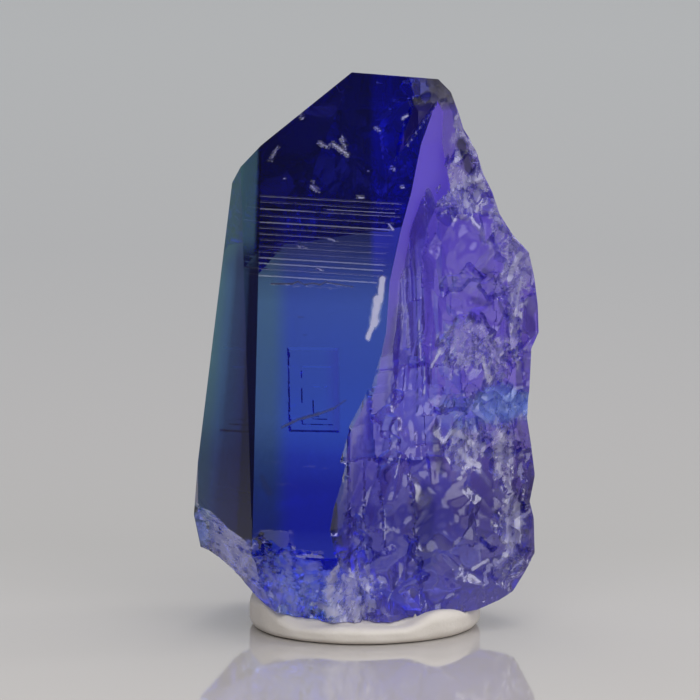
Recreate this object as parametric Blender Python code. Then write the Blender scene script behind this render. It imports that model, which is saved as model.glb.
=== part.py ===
"""A natural tanzanite crystal standing on a pressed pad of mounting putty.

The crystal is one solid: a flattened prism with flat growth faces in front, on the left and
behind, a sloping chisel top, and a broken right side and base with shell-shaped scoops.
The pad is a second solid, with a shallow pocket where the crystal is pressed into it.

Frame: metres, +Z up, the crystal's large growth face looks along -Y, and the origin is the
middle of the pad's flat underside. Sizes below are in millimetres and are scaled by MM.
"""

import math

import bmesh
import bpy
from mathutils import Euler, Matrix, Vector

MM = 0.001

# Driving dimensions, in millimetres
CRYSTAL_TOP = 31.4          # height of the chisel edge above the surface
HALF_DEPTH = 9.0            # half the depth of the block that the crystal is cut from
FACE_FOOT_Y = -6.7          # where the large front face would meet the surface
FACE_LEAN = 0.105           # how far the front face leans back per millimetre of height
BACK_FOOT_Y = 6.4           # where the back face would meet the surface
BACK_OUTWARD = (0.12, 1, 0.16)      # the way the back face looks: it leans forward going up
TOP_SLOPE = math.radians(57)    # fall of the chisel faces towards the back

PAD_RADIUS = 6.35
PAD_THICKNESS = 1.5
PAD_EDGE_RADIUS = 0.55
PAD_GAP = 0.3               # clearance between the putty and the crystal
PAD_GRIP_HEIGHT = 2.2       # the crystal's underside up to here shapes the pocket
PAD_SEGMENTS = 96
PAD_RIM_STEPS = 8
ICOSPHERE_INRADIUS = 0.79   # how near the faces of the coarse unit ball come to its middle

# The crystal's outline seen from the front, as (x, z). It starts at the chisel edge's left
# end and runs clockwise: the broken right side, the base, then the left side.
# Top and left lie outside the growth faces, which cut them.
FRONT_OUTLINE = [
    (-1.0, 33.0), (3.4, 33.0), (4.05, 31.0), (4.75, 30.2), (5.15, 29.0), (5.45, 27.9),
    (6.15, 26.7), (6.55, 25.3), (7.05, 24.2), (7.45, 22.9), (8.15, 21.8), (9.05, 20.9),
    (9.35, 19.5), (9.55, 17.9), (9.6, 16.4), (9.2, 15.6), (9.1, 13.4), (8.95, 11.6),
    (9.2, 10.0), (9.4, 8.4), (9.1, 6.9), (9.35, 5.9), (9.4, 4.1), (8.85, 3.1),
    (8.2, 2.1), (7.4, 1.7), (6.2, 1.3), (4.6, 1.25), (3.2, 1.3), (1.8, 1.05),
    (0.7, 1.02), (-1.6, 1.05), (-3.7, 1.15), (-5.4, 1.75), (-6.4, 2.5), (-7.3, 3.3),
    (-8.4, 3.9), (-11.0, 4.2), (-11.0, 28.0),
]

# The plane of the break at the right: a point on the front face where the break starts low
# down, one near the top, and one at the right edge.
BREAK_LOW = Vector((-1.0, -6.25, 4.3))
BREAK_HIGH = Vector((4.5, -3.5, 30.4))
BREAK_EDGE = Vector((9.5, -0.9, 17.0))

# Scoops: x and z of the middle seen from the front, half width, half height, depth, and
# tilt in degrees, clockwise from upright. The first four are the long smooth hollows
# along the front face, the others lie across the rest of the break.
LONG_SCOOPS = [
    (3.35, 25.4, 1.30, 7.0, 0.70, 12),
    (1.60, 17.4, 1.20, 6.4, 0.50, 6),
    (0.35, 10.6, 1.30, 5.2, 0.50, 9),
    (-0.65, 5.6, 0.80, 3.0, 0.45, 2),
]
BREAK_SCOOPS = [
    (5.35, 20.9, 1.50, 2.9, 0.70, -6),
    (7.10, 20.8, 1.35, 3.6, 0.80, 8),
    (5.55, 27.2, 1.05, 2.6, 0.85, 14),
    (6.70, 24.4, 1.20, 2.1, 0.75, 20),
    (8.90, 18.0, 1.05, 3.2, 0.60, -8),
    (6.90, 17.0, 1.30, 1.7, 0.75, 30),
    (5.10, 15.6, 1.20, 2.4, 0.60, -20),
    (7.80, 13.6, 1.55, 2.4, 0.80, 10),
    (2.90, 11.9, 1.30, 3.4, 0.70, 4),
    (5.30, 11.6, 1.45, 2.0, 0.75, -12),
    (8.60, 10.4, 0.95, 2.6, 0.60, 0),
    (6.70, 8.9, 1.70, 2.1, 0.80, 25),
    (4.30, 7.4, 1.60, 3.2, 0.95, -8),
    (1.90, 6.0, 1.15, 2.8, 0.80, 8),
    (8.00, 5.8, 1.10, 2.0, 0.70, -25),
    (6.30, 4.2, 1.90, 1.4, 0.85, 60),
    (3.60, 2.8, 1.40, 1.6, 0.90, 15),
]

# Cleavage steps in the break: x and z of the middle seen from the front, half height,
# depth, tilt in degrees, and which way the steep wall looks, 1 for right and -1 for left.
STEEP_WALL = math.radians(62)   # the steep wall's slope against the break's plane
FLOOR_SLOPE = math.radians(20)  # the gentle floor's
CLEAVAGE_STEPS = [
    (2.75, 17.2, 5.4, 0.55, 2, 1),
    (3.95, 20.6, 3.2, 0.50, 0, 1),
    (4.60, 27.3, 2.4, 0.55, 16, 1),
    (6.05, 25.2, 1.6, 0.70, 18, -1),
    (6.20, 22.6, 1.9, 0.55, -12, 1),
    (8.05, 16.3, 3.6, 0.55, 2, -1),
    (3.75, 14.2, 2.2, 0.60, -6, -1),
    (6.30, 13.6, 1.7, 0.65, 22, 1),
    (1.60, 9.4, 2.6, 0.45, 6, 1),
    (3.30, 9.0, 2.0, 0.60, -4, 1),
    (5.60, 9.9, 1.2, 0.55, 34, -1),
    (7.60, 10.9, 1.5, 0.50, -14, 1),
    (5.70, 6.6, 1.8, 0.70, 28, 1),
    (8.60, 7.4, 1.4, 0.50, 6, -1),
    (2.80, 4.6, 1.6, 0.60, 18, -1),
    (4.80, 3.9, 1.2, 0.50, -40, 1),
]

# The lower left corner is broken off by one plane, through these points.
CORNER_BREAK = [Vector((-9.57, -0.9, 7.0)), Vector((-5.5, -4.6, 2.0)), Vector((-6.4, -5.95, 7.3))]

# Other breaks that go right through: a point, and the way the broken surface looks.
THROUGH_BREAKS = [
    (Vector((9.3, 1.4, 7.0)), Vector((1, 0.5, 0.03))),
    (Vector((8.4, 1.0, 21.5)), Vector((1, 0.42, 0.38))),
    (Vector((0.0, 2.5, 1.1)), Vector((0.1, 0.45, -1))),
]

# Scoops in the broken corner, in the foot of the front face, in the broken right flank, and
# in the underside: middle as (x, y, z), half width, half height, depth, tilt in degrees.
CORNER_SCOOPS = [
    (-8.5, -2.6, 5.4, 1.7, 1.3, 0.35, 20),
    (-6.6, -4.9, 4.8, 1.5, 1.9, 0.40, -20),
    (-7.5, -3.1, 3.5, 1.7, 1.0, 0.35, 50),
    (-5.3, -5.4, 2.9, 1.0, 1.3, 0.30, 10),
]
FOOT_SCOOPS = [
    (-4.4, -6.3, 3.2, 2.3, 2.0, 0.70, -12),
    (-2.3, -6.4, 2.6, 1.6, 2.0, 0.65, 12),
    (-3.4, -6.4, 1.7, 1.9, 0.9, 0.50, 35),
    (-0.9, -6.5, 2.2, 0.8, 2.0, 0.50, -14),
]
FLANK_SCOOPS = [
    (6.3, 0.6, 27.0, 1.6, 2.6, 0.45, 0),
    (7.9, 1.7, 21.8, 1.9, 3.0, 0.60, 14),
    (9.1, 2.2, 17.0, 2.2, 2.4, 0.70, -12),
    (8.9, 3.0, 12.4, 2.4, 3.0, 0.75, 8),
    (9.3, 1.8, 8.6, 2.0, 2.1, 0.60, -24),
    (8.9, 3.4, 5.0, 2.6, 2.6, 0.75, 18),
    (7.4, 5.0, 9.6, 2.4, 4.6, 0.90, 3),
    (7.0, 4.0, 18.6, 2.0, 3.8, 0.80, -8),
]
BASE_SCOOPS = [
    (-3.6, 0.4, 1.0, 2.2, 1.5, 0.30, 20),
    (3.9, -1.6, 1.2, 1.9, 1.4, 0.28, -35),
    (0.6, 4.0, 1.7, 2.8, 1.5, 0.40, 5),
    (-2.0, -3.7, 1.0, 1.5, 1.0, 0.25, 50),
    (5.4, 4.4, 2.2, 2.0, 1.4, 0.40, 15),
]

# Rectangular growth terraces in the back face, which show through the front: x and z of
# the middle, width, height and depth.
BACK_TERRACES = [
    (-2.8, 13.2, 3.6, 5.6, 0.35),
    (-2.6, 12.9, 2.4, 3.9, 0.70),
    (-4.2, 8.4, 1.8, 3.0, 0.30),
    (1.5, 15.2, 1.9, 5.4, 0.40),
    (2.4, 8.4, 2.8, 4.2, 0.45),
]

# The bruised corner at the right end of the chisel edge
CORNER_CHIP = (4.15, -3.9, 30.6, 0.75, 1.1, 0.35, 25)


def crystal_face(body, point, outward):
    """Cuts the body flat by the plane through point, keeping the side away from outward."""
    parts = body.verts[:] + body.edges[:] + body.faces[:]
    cut = bmesh.ops.bisect_plane(
        body, geom=parts, dist=1e-5, plane_co=point, plane_no=outward, clear_outer=True
    )
    edges = [e for e in cut["geom_cut"] if isinstance(e, bmesh.types.BMEdge)]
    bmesh.ops.edgeloop_fill(body, edges=edges)


def outward_of(first, second, third):
    """The unit normal of the plane through three points, right-handed round them."""
    return (second - first).cross(third - first).normalized()


def front_face_y(z):
    """Depth of the large front growth face at height z."""
    return FACE_FOOT_Y + FACE_LEAN * z


def growth_prism():
    """The unbroken crystal: a block cut by each growth face, as a bmesh in millimetres."""
    body = bmesh.new()
    bmesh.ops.create_cube(body, size=1.0)
    bmesh.ops.scale(body, vec=(24, 2 * HALF_DEPTH, 36), verts=body.verts)
    bmesh.ops.translate(body, vec=(0, 0, 16), verts=body.verts)

    front = Vector((0, -1, FACE_LEAN)).normalized()
    crystal_face(body, Vector((0, FACE_FOOT_Y, 0)), front)

    back = Vector(BACK_OUTWARD).normalized()
    crystal_face(body, Vector((0, BACK_FOOT_Y, 0)), back)

    # The narrow left face, from its edge with the front face round to the left outline
    edge_top = Vector((-5.8, front_face_y(26), 26))
    edge_foot = Vector((-6.35, front_face_y(6), 6))
    left_top = Vector((-6.85, front_face_y(26) + 1.7, 26))
    crystal_face(body, edge_foot, outward_of(edge_foot, edge_top, left_top))

    # The back left face, which the left outline belongs to
    left_foot = Vector((-9.55, front_face_y(6) + 5.3, 6))
    behind_foot = Vector((-6.0, 5.6, 6))
    crystal_face(body, left_foot, outward_of(left_foot, left_top, behind_foot))
    crystal_face(body, Vector((-9.8, 0, 0)), Vector((-1, -0.25, 0.02)).normalized())

    # The chisel: a left face and a top face that both fall away to the back
    fall = Vector((0, math.cos(TOP_SLOPE), -math.sin(TOP_SLOPE)))
    shoulder = Vector((-6.9, front_face_y(26.4), 26.4))
    ridge_left = Vector((-0.66, front_face_y(CRYSTAL_TOP), CRYSTAL_TOP))
    crystal_face(body, shoulder, fall.cross(shoulder - ridge_left).normalized())
    ridge_right = Vector((4.2, front_face_y(CRYSTAL_TOP), CRYSTAL_TOP - 0.25))
    crystal_face(body, ridge_left, fall.cross(ridge_left - ridge_right).normalized())
    return body


def break_outward():
    """The way the broken right side looks, as a unit vector."""
    return outward_of(BREAK_LOW, BREAK_EDGE, BREAK_HIGH)


def across_of(outward):
    """The level unit vector in a surface, to the right for someone who looks at it."""
    return Vector((0, 0, 1)).cross(outward).normalized()


def on_break(x, z):
    """The point of the break's plane at x and z seen from the front."""
    outward = break_outward()
    rest = outward.x * (x - BREAK_LOW.x) + outward.z * (z - BREAK_LOW.z)
    return Vector((x, BREAK_LOW.y - rest / outward.y, z))


def new_object(name, body, collection):
    """An object from a bmesh in millimetres, which is freed."""
    mesh = bpy.data.meshes.new(name)
    bmesh.ops.scale(body, vec=(MM, MM, MM), verts=body.verts)
    body.to_mesh(mesh)
    body.free()
    made = bpy.data.objects.new(name, mesh)
    collection.objects.link(made)
    return made


def new_cutter(name, body, cutters):
    """A cutter that is not rendered."""
    made = new_object(name, body, cutters)
    made.hide_render = True
    made.display_type = "WIRE"
    return made


def outline_block(cutters):
    """The front outline as a filled curve, extruded through the crystal's depth, as a mesh."""
    curve = bpy.data.curves.new("front_outline", "CURVE")
    curve.dimensions = "2D"
    curve.fill_mode = "BOTH"
    curve.extrude = HALF_DEPTH * 1.2
    spline = curve.splines.new("POLY")
    spline.points.add(len(FRONT_OUTLINE) - 1)
    for point, (x, z) in zip(spline.points, FRONT_OUTLINE):
        point.co = (x, z, 0, 1)
    spline.use_cyclic_u = True
    drawn = bpy.data.objects.new("front_outline", curve)
    cutters.objects.link(drawn)
    bpy.context.view_layer.update()
    evaluated = drawn.evaluated_get(bpy.context.evaluated_depsgraph_get())
    mesh = bpy.data.meshes.new_from_object(evaluated)
    bpy.data.objects.remove(drawn)
    body = bmesh.new()
    body.from_mesh(mesh)
    bmesh.ops.remove_doubles(body, verts=body.verts, dist=1e-4)
    upright = Matrix.Rotation(math.pi / 2, 4, "X")
    bmesh.ops.transform(body, matrix=upright, verts=body.verts)
    bmesh.ops.recalc_face_normals(body, faces=body.faces)
    return new_cutter("outline_block", body, cutters)


def surface_frame(outward, tilt):
    """Turns local across, inward and up into a surface's own, after a tilt within it."""
    across = across_of(outward)
    up = outward.cross(across)
    frame = Matrix((across, -outward, up)).transposed()
    return (frame @ Euler((0, math.radians(tilt), 0)).to_matrix()).to_4x4()


def scoop(cutters, middle, outward, half_width, half_height, depth, tilt):
    """An ellipsoid that bites a shell-shaped hollow of that size into the surface at middle.

    Its centre stands outside the surface by twice the hollow's depth. There it is
    sqrt(1 - (2/3)^2) = 0.745 of its full width, so it is made that much wider.
    """
    body = bmesh.new()
    bmesh.ops.create_icosphere(body, subdivisions=3, radius=1.0)
    size = Vector((half_width / 0.745, 3.0 * depth, half_height / 0.745))
    bmesh.ops.scale(body, vec=size, verts=body.verts)
    bmesh.ops.transform(body, matrix=surface_frame(outward, tilt), verts=body.verts)
    bmesh.ops.translate(body, vec=middle + outward * 2.0 * depth, verts=body.verts)
    return new_cutter("scoop", body, cutters)


def cleavage_step(cutters, middle, outward, half_height, depth, tilt, side):
    """A wedge that leaves a steep wall beside a gently sloping floor, pinched at both ends."""
    clear = 0.35
    rise = depth + clear
    wall = -side * rise / math.tan(STEEP_WALL)
    floor = side * rise / math.tan(FLOOR_SLOPE)
    body = bmesh.new()
    for end in (-1, 1):
        body.verts.new((0, depth, end * half_height * 0.5))
        body.verts.new((side * 0.3, depth * 0.5, end * half_height * 0.8))
        body.verts.new((wall, -clear, end * half_height))
        body.verts.new((floor, -clear, end * half_height * 0.75))
    bmesh.ops.convex_hull(body, input=body.verts)
    bmesh.ops.transform(body, matrix=surface_frame(outward, tilt), verts=body.verts)
    bmesh.ops.translate(body, vec=middle, verts=body.verts)
    bmesh.ops.recalc_face_normals(body, faces=body.faces)
    return new_cutter("cleavage_step", body, cutters)


def terrace(cutters, x, z, width, height, depth):
    """A flat-floored rectangular step sunk into the back face."""
    outward = Vector(BACK_OUTWARD).normalized()
    rest = outward.x * x + outward.z * z
    middle = Vector((x, BACK_FOOT_Y - rest / outward.y, z))
    body = bmesh.new()
    bmesh.ops.create_cube(body, size=1.0)
    bmesh.ops.scale(body, vec=(width, 2 * depth, height), verts=body.verts)
    bmesh.ops.transform(body, matrix=surface_frame(outward, 0), verts=body.verts)
    bmesh.ops.translate(body, vec=middle, verts=body.verts)
    return new_cutter("terrace", body, cutters)


def boolean(target, other, operation):
    """Adds an exact Boolean with another mesh object."""
    modifier = target.modifiers.new(operation.lower(), "BOOLEAN")
    modifier.operation = operation
    modifier.solver = "EXACT"
    modifier.object = other


def break_right_side(crystal, cutters):
    """Cleavage steps first, then the shell-shaped hollows over them."""
    outward = break_outward()
    for x, z, half_height, depth, tilt, side in CLEAVAGE_STEPS:
        cutter = cleavage_step(cutters, on_break(x, z), outward, half_height, depth, tilt, side)
        boolean(crystal, cutter, "DIFFERENCE")
    for x, z, half_width, half_height, depth, tilt in LONG_SCOOPS + BREAK_SCOOPS:
        cutter = scoop(cutters, on_break(x, z), outward, half_width, half_height, depth, tilt)
        boolean(crystal, cutter, "DIFFERENCE")


def scoop_out(crystal, cutters, scoops, outward):
    """Hollows whose middles are given as points in space, all facing outward."""
    for x, y, z, half_width, half_height, depth, tilt in scoops:
        middle = Vector((x, y, z))
        cutter = scoop(cutters, middle, outward, half_width, half_height, depth, tilt)
        boolean(crystal, cutter, "DIFFERENCE")


def tanzanite_crystal(parts, cutters):
    """The crystal: the growth prism, cut by the outline and the break, then scooped."""
    body = growth_prism()
    outward = break_outward()
    crystal_face(body, BREAK_LOW, outward)
    corner_outward = outward_of(*CORNER_BREAK)
    crystal_face(body, CORNER_BREAK[0], corner_outward)
    for point, looks in THROUGH_BREAKS:
        crystal_face(body, point, looks.normalized())
    crystal = new_object("tanzanite_crystal", body, parts)
    boolean(crystal, outline_block(cutters), "INTERSECT")
    break_right_side(crystal, cutters)
    scoop_out(crystal, cutters, CORNER_SCOOPS, corner_outward)
    scoop_out(crystal, cutters, FOOT_SCOOPS, Vector((-0.1, -1, -0.5)).normalized())
    scoop_out(crystal, cutters, FLANK_SCOOPS, Vector((1, 0.45, 0.1)).normalized())
    scoop_out(crystal, cutters, BASE_SCOOPS, Vector((0, -0.05, -1)).normalized())
    scoop_out(crystal, cutters, [CORNER_CHIP], Vector((0.5, -0.6, 0.62)).normalized())
    for x, z, width, height, depth in BACK_TERRACES:
        boolean(crystal, terrace(cutters, x, z, width, height, depth), "DIFFERENCE")
    crystal.data.materials.append(plain_material("tanzanite", (0.055, 0.05, 0.35), 0.08))
    return crystal


def pad_body():
    """The pressed pad: a round disc with a rounded rim, as a bmesh in millimetres."""
    profile = [(0.0, 0.0)]
    for step in range(PAD_RIM_STEPS + 1):
        angle = math.pi * (step / PAD_RIM_STEPS - 0.5)
        half = PAD_THICKNESS / 2
        out = PAD_RADIUS - PAD_EDGE_RADIUS + PAD_EDGE_RADIUS * math.cos(angle)
        profile.append((out, half + half * math.sin(angle)))
    profile.append((0.0, PAD_THICKNESS))
    body = bmesh.new()
    points = [body.verts.new((out, 0, z)) for out, z in profile]
    edges = [body.edges.new(pair) for pair in zip(points, points[1:])]
    bmesh.ops.spin(
        body, geom=points + edges, cent=(0, 0, 0), axis=(0, 0, 1),
        angle=2 * math.pi, steps=PAD_SEGMENTS, use_merge=True,
    )
    bmesh.ops.remove_doubles(body, verts=body.verts, dist=1e-4)
    bmesh.ops.recalc_face_normals(body, faces=body.faces)
    return body


def pocket(crystal, cutters):
    """The crystal's underside as a convex lump, grown by the clearance all round."""
    bpy.context.view_layer.update()
    evaluated = crystal.evaluated_get(bpy.context.evaluated_depsgraph_get())
    body = bmesh.new()
    body.from_mesh(evaluated.to_mesh())
    bmesh.ops.scale(body, vec=(1 / MM, 1 / MM, 1 / MM), verts=body.verts)
    parts = body.verts[:] + body.edges[:] + body.faces[:]
    bmesh.ops.bisect_plane(
        body, geom=parts, dist=1e-5, plane_co=(0, 0, PAD_GRIP_HEIGHT), plane_no=(0, 0, 1),
        clear_outer=True,
    )
    low_points = [v.co.copy() for v in body.verts]
    body.free()
    evaluated.to_mesh_clear()

    ball = bmesh.new()
    bmesh.ops.create_icosphere(ball, subdivisions=1, radius=PAD_GAP / ICOSPHERE_INRADIUS)
    offsets = [v.co.copy() for v in ball.verts]
    ball.free()

    grown = bmesh.new()
    for point in low_points:
        for offset in offsets:
            grown.verts.new(point + offset)
    hull = bmesh.ops.convex_hull(grown, input=grown.verts)
    inside = [v for v in hull["geom_interior"] if isinstance(v, bmesh.types.BMVert)]
    bmesh.ops.delete(grown, geom=inside, context="VERTS")
    bmesh.ops.dissolve_limit(
        grown, angle_limit=math.radians(2), verts=grown.verts, edges=grown.edges
    )
    bmesh.ops.recalc_face_normals(grown, faces=grown.faces)
    return new_cutter("pocket", grown, cutters)


def putty_pad(parts, cutters, crystal):
    """The pad of mounting putty with the pocket that the crystal is pressed into."""
    pad = new_object("putty_pad", pad_body(), parts)
    boolean(pad, pocket(crystal, cutters), "DIFFERENCE")
    pad.data.materials.append(plain_material("mounting putty", (0.62, 0.58, 0.52), 0.75))
    return pad


def plain_material(name, colour, roughness):
    """A Principled material, given as linear colour and roughness."""
    made = bpy.data.materials.new(name)
    made.use_nodes = True
    shader = made.node_tree.nodes["Principled BSDF"]
    shader.inputs["Base Color"].default_value = (*colour, 1)
    shader.inputs["Roughness"].default_value = roughness
    shader.inputs["Metallic"].default_value = 0
    return made


def main():
    for old in list(bpy.data.objects):
        bpy.data.objects.remove(old, do_unlink=True)
    scene = bpy.context.scene.collection
    parts = bpy.data.collections.new("tanzanite_on_putty")
    cutters = bpy.data.collections.new("cutters")
    scene.children.link(parts)
    scene.children.link(cutters)
    crystal = tanzanite_crystal(parts, cutters)
    putty_pad(parts, cutters, crystal)


main()
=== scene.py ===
"""Looks of a natural tanzanite crystal that stands on a pressed pad of mounting putty.

The crystal's skin is two sheets, the front and the back, each a depth y worked out over a
grid of (x, z), and a rim that joins them round the outline. Sizes are in millimetres in the
frame of the part, +Z up with the large growth face towards -Y, and MM turns them to metres.
"""

import math

import bmesh
import bpy
import numpy as np
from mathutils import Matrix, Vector
from mathutils.geometry import delaunay_2d_cdt


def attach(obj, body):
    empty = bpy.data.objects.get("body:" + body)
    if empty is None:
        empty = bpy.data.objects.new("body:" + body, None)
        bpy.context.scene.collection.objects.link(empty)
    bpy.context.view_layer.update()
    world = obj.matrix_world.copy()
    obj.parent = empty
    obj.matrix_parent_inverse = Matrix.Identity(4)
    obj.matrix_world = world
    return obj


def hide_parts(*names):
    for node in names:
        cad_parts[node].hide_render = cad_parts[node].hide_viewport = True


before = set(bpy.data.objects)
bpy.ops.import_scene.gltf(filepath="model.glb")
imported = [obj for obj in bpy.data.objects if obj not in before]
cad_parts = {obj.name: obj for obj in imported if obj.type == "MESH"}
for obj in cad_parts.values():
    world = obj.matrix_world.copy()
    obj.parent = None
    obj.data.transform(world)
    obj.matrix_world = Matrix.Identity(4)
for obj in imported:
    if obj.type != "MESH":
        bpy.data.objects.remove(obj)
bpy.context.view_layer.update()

MM = 0.001


# Driving sizes of the crystal

FACE_FOOT_Y = -6.7          # where the large front face would meet the surface
FACE_LEAN = 0.105           # how far the front face leans back per millimetre of height
CRYSTAL_TOP = 31.4
TOP_SLOPE = math.radians(57)
LEFT_TOP_SLOPE = math.radians(46)

# The right side and the base of the outline seen from the front, as (x, z)
RIGHT_OUTLINE = [
    (8.2, 2.1), (8.85, 3.1), (9.4, 4.1), (9.35, 5.9), (9.1, 6.9), (9.4, 8.4), (9.2, 10.0),
    (8.95, 11.6), (9.1, 13.4), (9.2, 15.6), (9.6, 16.4), (9.55, 17.9), (9.35, 19.5),
    (9.05, 20.9), (8.15, 21.8), (7.45, 22.9), (7.05, 24.2), (6.55, 25.3), (6.15, 26.7),
    (5.45, 27.9), (5.15, 29.0), (4.75, 30.2), (4.05, 31.0),
]
BASE_OUTLINE = [
    (-9.5, 4.2), (-8.4, 3.9), (-7.3, 3.3), (-6.4, 2.5), (-5.4, 1.75), (-3.7, 1.15), (-1.6, 1.05),
    (0.7, 1.02), (1.8, 1.05), (3.2, 1.3), (4.6, 1.25), (6.2, 1.3), (7.4, 1.7), (8.2, 2.1),
]
# Three points of the broken side's plane, and of the broken lower left corner's
BREAK_POINTS = [(-1.0, -6.25, 4.3), (9.5, -0.9, 17.0), (4.5, -3.5, 30.4)]
CORNER_POINTS = [(-9.57, -0.9, 6.5), (-5.5, -4.6, 2.0), (-6.45, -5.8, 4.6)]


def unit(vector):
    """The vector, or each row of an array of them, divided by its length."""
    vector = np.asarray(vector, float)
    return vector / np.linalg.norm(vector, axis=-1, keepdims=True)


def outward_of(first, second, third):
    """The unit normal of the plane through three points, right-handed round them."""
    first, second, third = (np.asarray(point, float) for point in (first, second, third))
    return unit(np.cross(second - first, third - first))


def front_face_y(z):
    """Depth of the large front face at a height."""
    return FACE_FOOT_Y + FACE_LEAN * z


def growth_faces():
    """Each flat growth face as a point on it and the way it looks."""
    edge_top = (-5.65, front_face_y(26), 26)
    edge_foot = (-6.10, front_face_y(6), 6)
    strip_top = (-6.75, front_face_y(26) + 0.36, 26)
    strip_foot = (-6.14, front_face_y(6) + 0.01, 6)
    left_top = (-7.10, front_face_y(26) + 0.95, 26)
    left_foot = (-9.55, front_face_y(6) + 4.4, 6)
    behind = (-5.75, 3.86, 20)
    fall = np.array((0, math.cos(TOP_SLOPE), -math.sin(TOP_SLOPE)))
    gentle_fall = np.array((0, math.cos(LEFT_TOP_SLOPE), -math.sin(LEFT_TOP_SLOPE)))
    shoulder = np.array((-6.9, front_face_y(26.4), 26.4))
    ridge_left = np.array((-0.66, front_face_y(CRYSTAL_TOP), CRYSTAL_TOP))
    ridge_right = np.array((4.2, front_face_y(CRYSTAL_TOP), CRYSTAL_TOP - 0.25))
    return {
        "front": ((0, FACE_FOOT_Y, 0), unit((0, -1, FACE_LEAN))),
        "back": ((0, 6.4, 0), unit((0.12, 1, 0.16))),
        "strip": (edge_foot, outward_of(edge_foot, edge_top, strip_top)),
        "left": (strip_foot, outward_of(strip_foot, strip_top, left_foot)),
        "back_left": (left_foot, outward_of(left_foot, left_top, behind)),
        "left_edge": ((-9.8, 0, 0), unit((-1, -0.25, 0.02))),
        "chisel_left": (shoulder, unit(np.cross(gentle_fall, shoulder - ridge_left))),
        "chisel_top": (ridge_left, unit(np.cross(fall, ridge_left - ridge_right))),
    }


# Hollows of the break as (x, z, half width, half height, depth, tilt in degrees)
LONG_SCOOPS = [
    (3.35, 25.4, 1.30, 7.0, 0.70, 12), (1.60, 17.4, 1.20, 6.4, 0.50, 6),
    (0.35, 10.6, 1.30, 5.2, 0.50, 9), (-0.65, 5.6, 0.80, 3.0, 0.45, 2),
]
BREAK_SCOOPS = [
    (5.35, 20.9, 1.50, 2.9, 0.70, -6), (7.10, 20.8, 1.35, 3.6, 0.80, 8),
    (5.55, 27.2, 1.05, 2.6, 0.85, 14), (6.70, 24.4, 1.20, 2.1, 0.75, 20),
    (8.90, 18.0, 1.05, 3.2, 0.60, -8), (6.90, 17.0, 1.30, 1.7, 0.75, 30),
    (5.10, 15.6, 1.20, 2.4, 0.60, -20), (7.80, 13.6, 1.55, 2.4, 0.80, 10),
    (2.90, 11.9, 1.30, 3.4, 0.70, 4), (5.30, 11.6, 1.45, 2.0, 0.75, -12),
    (8.60, 10.4, 0.95, 2.6, 0.60, 0), (6.70, 8.9, 1.70, 2.1, 0.80, 25),
    (4.30, 7.4, 1.60, 3.2, 0.95, -8), (1.90, 6.0, 1.15, 2.8, 0.80, 8),
    (8.00, 5.8, 1.10, 2.0, 0.70, -25), (6.30, 4.2, 1.90, 1.4, 0.85, 60),
    (3.60, 2.8, 1.40, 1.6, 0.90, 15),
]
# Steps of the break as (x, z, half height, depth, tilt, side that the floor is on)
CLEAVAGE_STEPS = [
    (2.75, 17.2, 5.4, 0.55, 2, 1), (3.95, 20.6, 3.2, 0.50, 0, 1),
    (4.60, 27.3, 2.4, 0.55, 16, 1), (6.05, 25.2, 1.6, 0.70, 18, -1),
    (6.20, 22.6, 1.9, 0.55, -12, 1), (8.05, 16.3, 3.6, 0.55, 2, -1),
    (3.75, 14.2, 2.2, 0.60, -6, -1), (6.30, 13.6, 1.7, 0.65, 22, 1),
    (1.60, 9.4, 2.6, 0.45, 6, 1), (3.30, 9.0, 2.0, 0.60, -4, 1),
    (5.60, 9.9, 1.2, 0.55, 34, -1), (7.60, 10.9, 1.5, 0.50, -14, 1),
    (3.15, 18.3, 4.2, 0.32, 1, -1), (3.50, 15.8, 4.6, 0.36, 0, 1), (2.35, 19.6, 3.2, 0.28, 3, 1),
    (4.30, 17.6, 3.4, 0.34, -2, -1), (2.05, 14.6, 3.0, 0.30, 5, 1), (8.55, 13.5, 3.2, 0.40, -3, 1),
    (5.70, 6.6, 1.8, 0.70, 28, 1), (8.60, 7.4, 1.4, 0.50, 6, -1),
    (2.80, 4.6, 1.6, 0.60, 18, -1), (4.80, 3.9, 1.2, 0.50, -40, 1),
]
# Hollows of the lower left corner and of the foot, in the same form, and of the right flank
# with y in the place of x
CORNER_SCOOPS = [
    (-8.5, 5.4, 1.7, 1.3, 0.35, 20), (-6.6, 4.8, 1.5, 1.9, 0.40, -20),
    (-7.5, 3.5, 1.7, 1.0, 0.35, 50), (-5.3, 2.9, 1.0, 1.3, 0.30, 10),
]
FOOT_SCOOPS = [
    (-4.4, 3.2, 2.3, 2.0, 0.70, -12), (-2.3, 2.6, 1.6, 2.0, 0.65, 12),
    (-3.4, 1.7, 1.9, 0.9, 0.50, 35), (-0.9, 2.2, 0.8, 2.0, 0.50, -14),
]
FLANK_SCOOPS = [
    (0.6, 27.0, 1.6, 2.6, 0.45, 0), (1.7, 21.8, 1.9, 3.0, 0.60, 14),
    (2.2, 17.0, 2.2, 2.4, 0.70, -12), (3.0, 12.4, 2.4, 3.0, 0.75, 8),
    (1.8, 8.6, 2.0, 2.1, 0.60, -24), (3.4, 5.0, 2.6, 2.6, 0.75, 18),
    (5.0, 9.6, 2.4, 4.6, 0.90, 3), (4.0, 18.6, 2.0, 3.8, 0.80, -8),
]
# The broken flank's two planes and the broken base, each as a point and the way it looks
FLANK = [((9.3, 1.4, 7.0), unit((1, 0.5, 0.03))), ((8.4, 1.0, 21.5), unit((1, 0.42, 0.38)))]
BASE = ((0.0, 2.5, 1.1), unit((0.1, 0.45, -1)))
FLANK_SLOPE = 0.89          # share of the flank's own width that shows along y
FLANK_LOOK = 0.447          # how far the flank looks towards +Y
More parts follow.
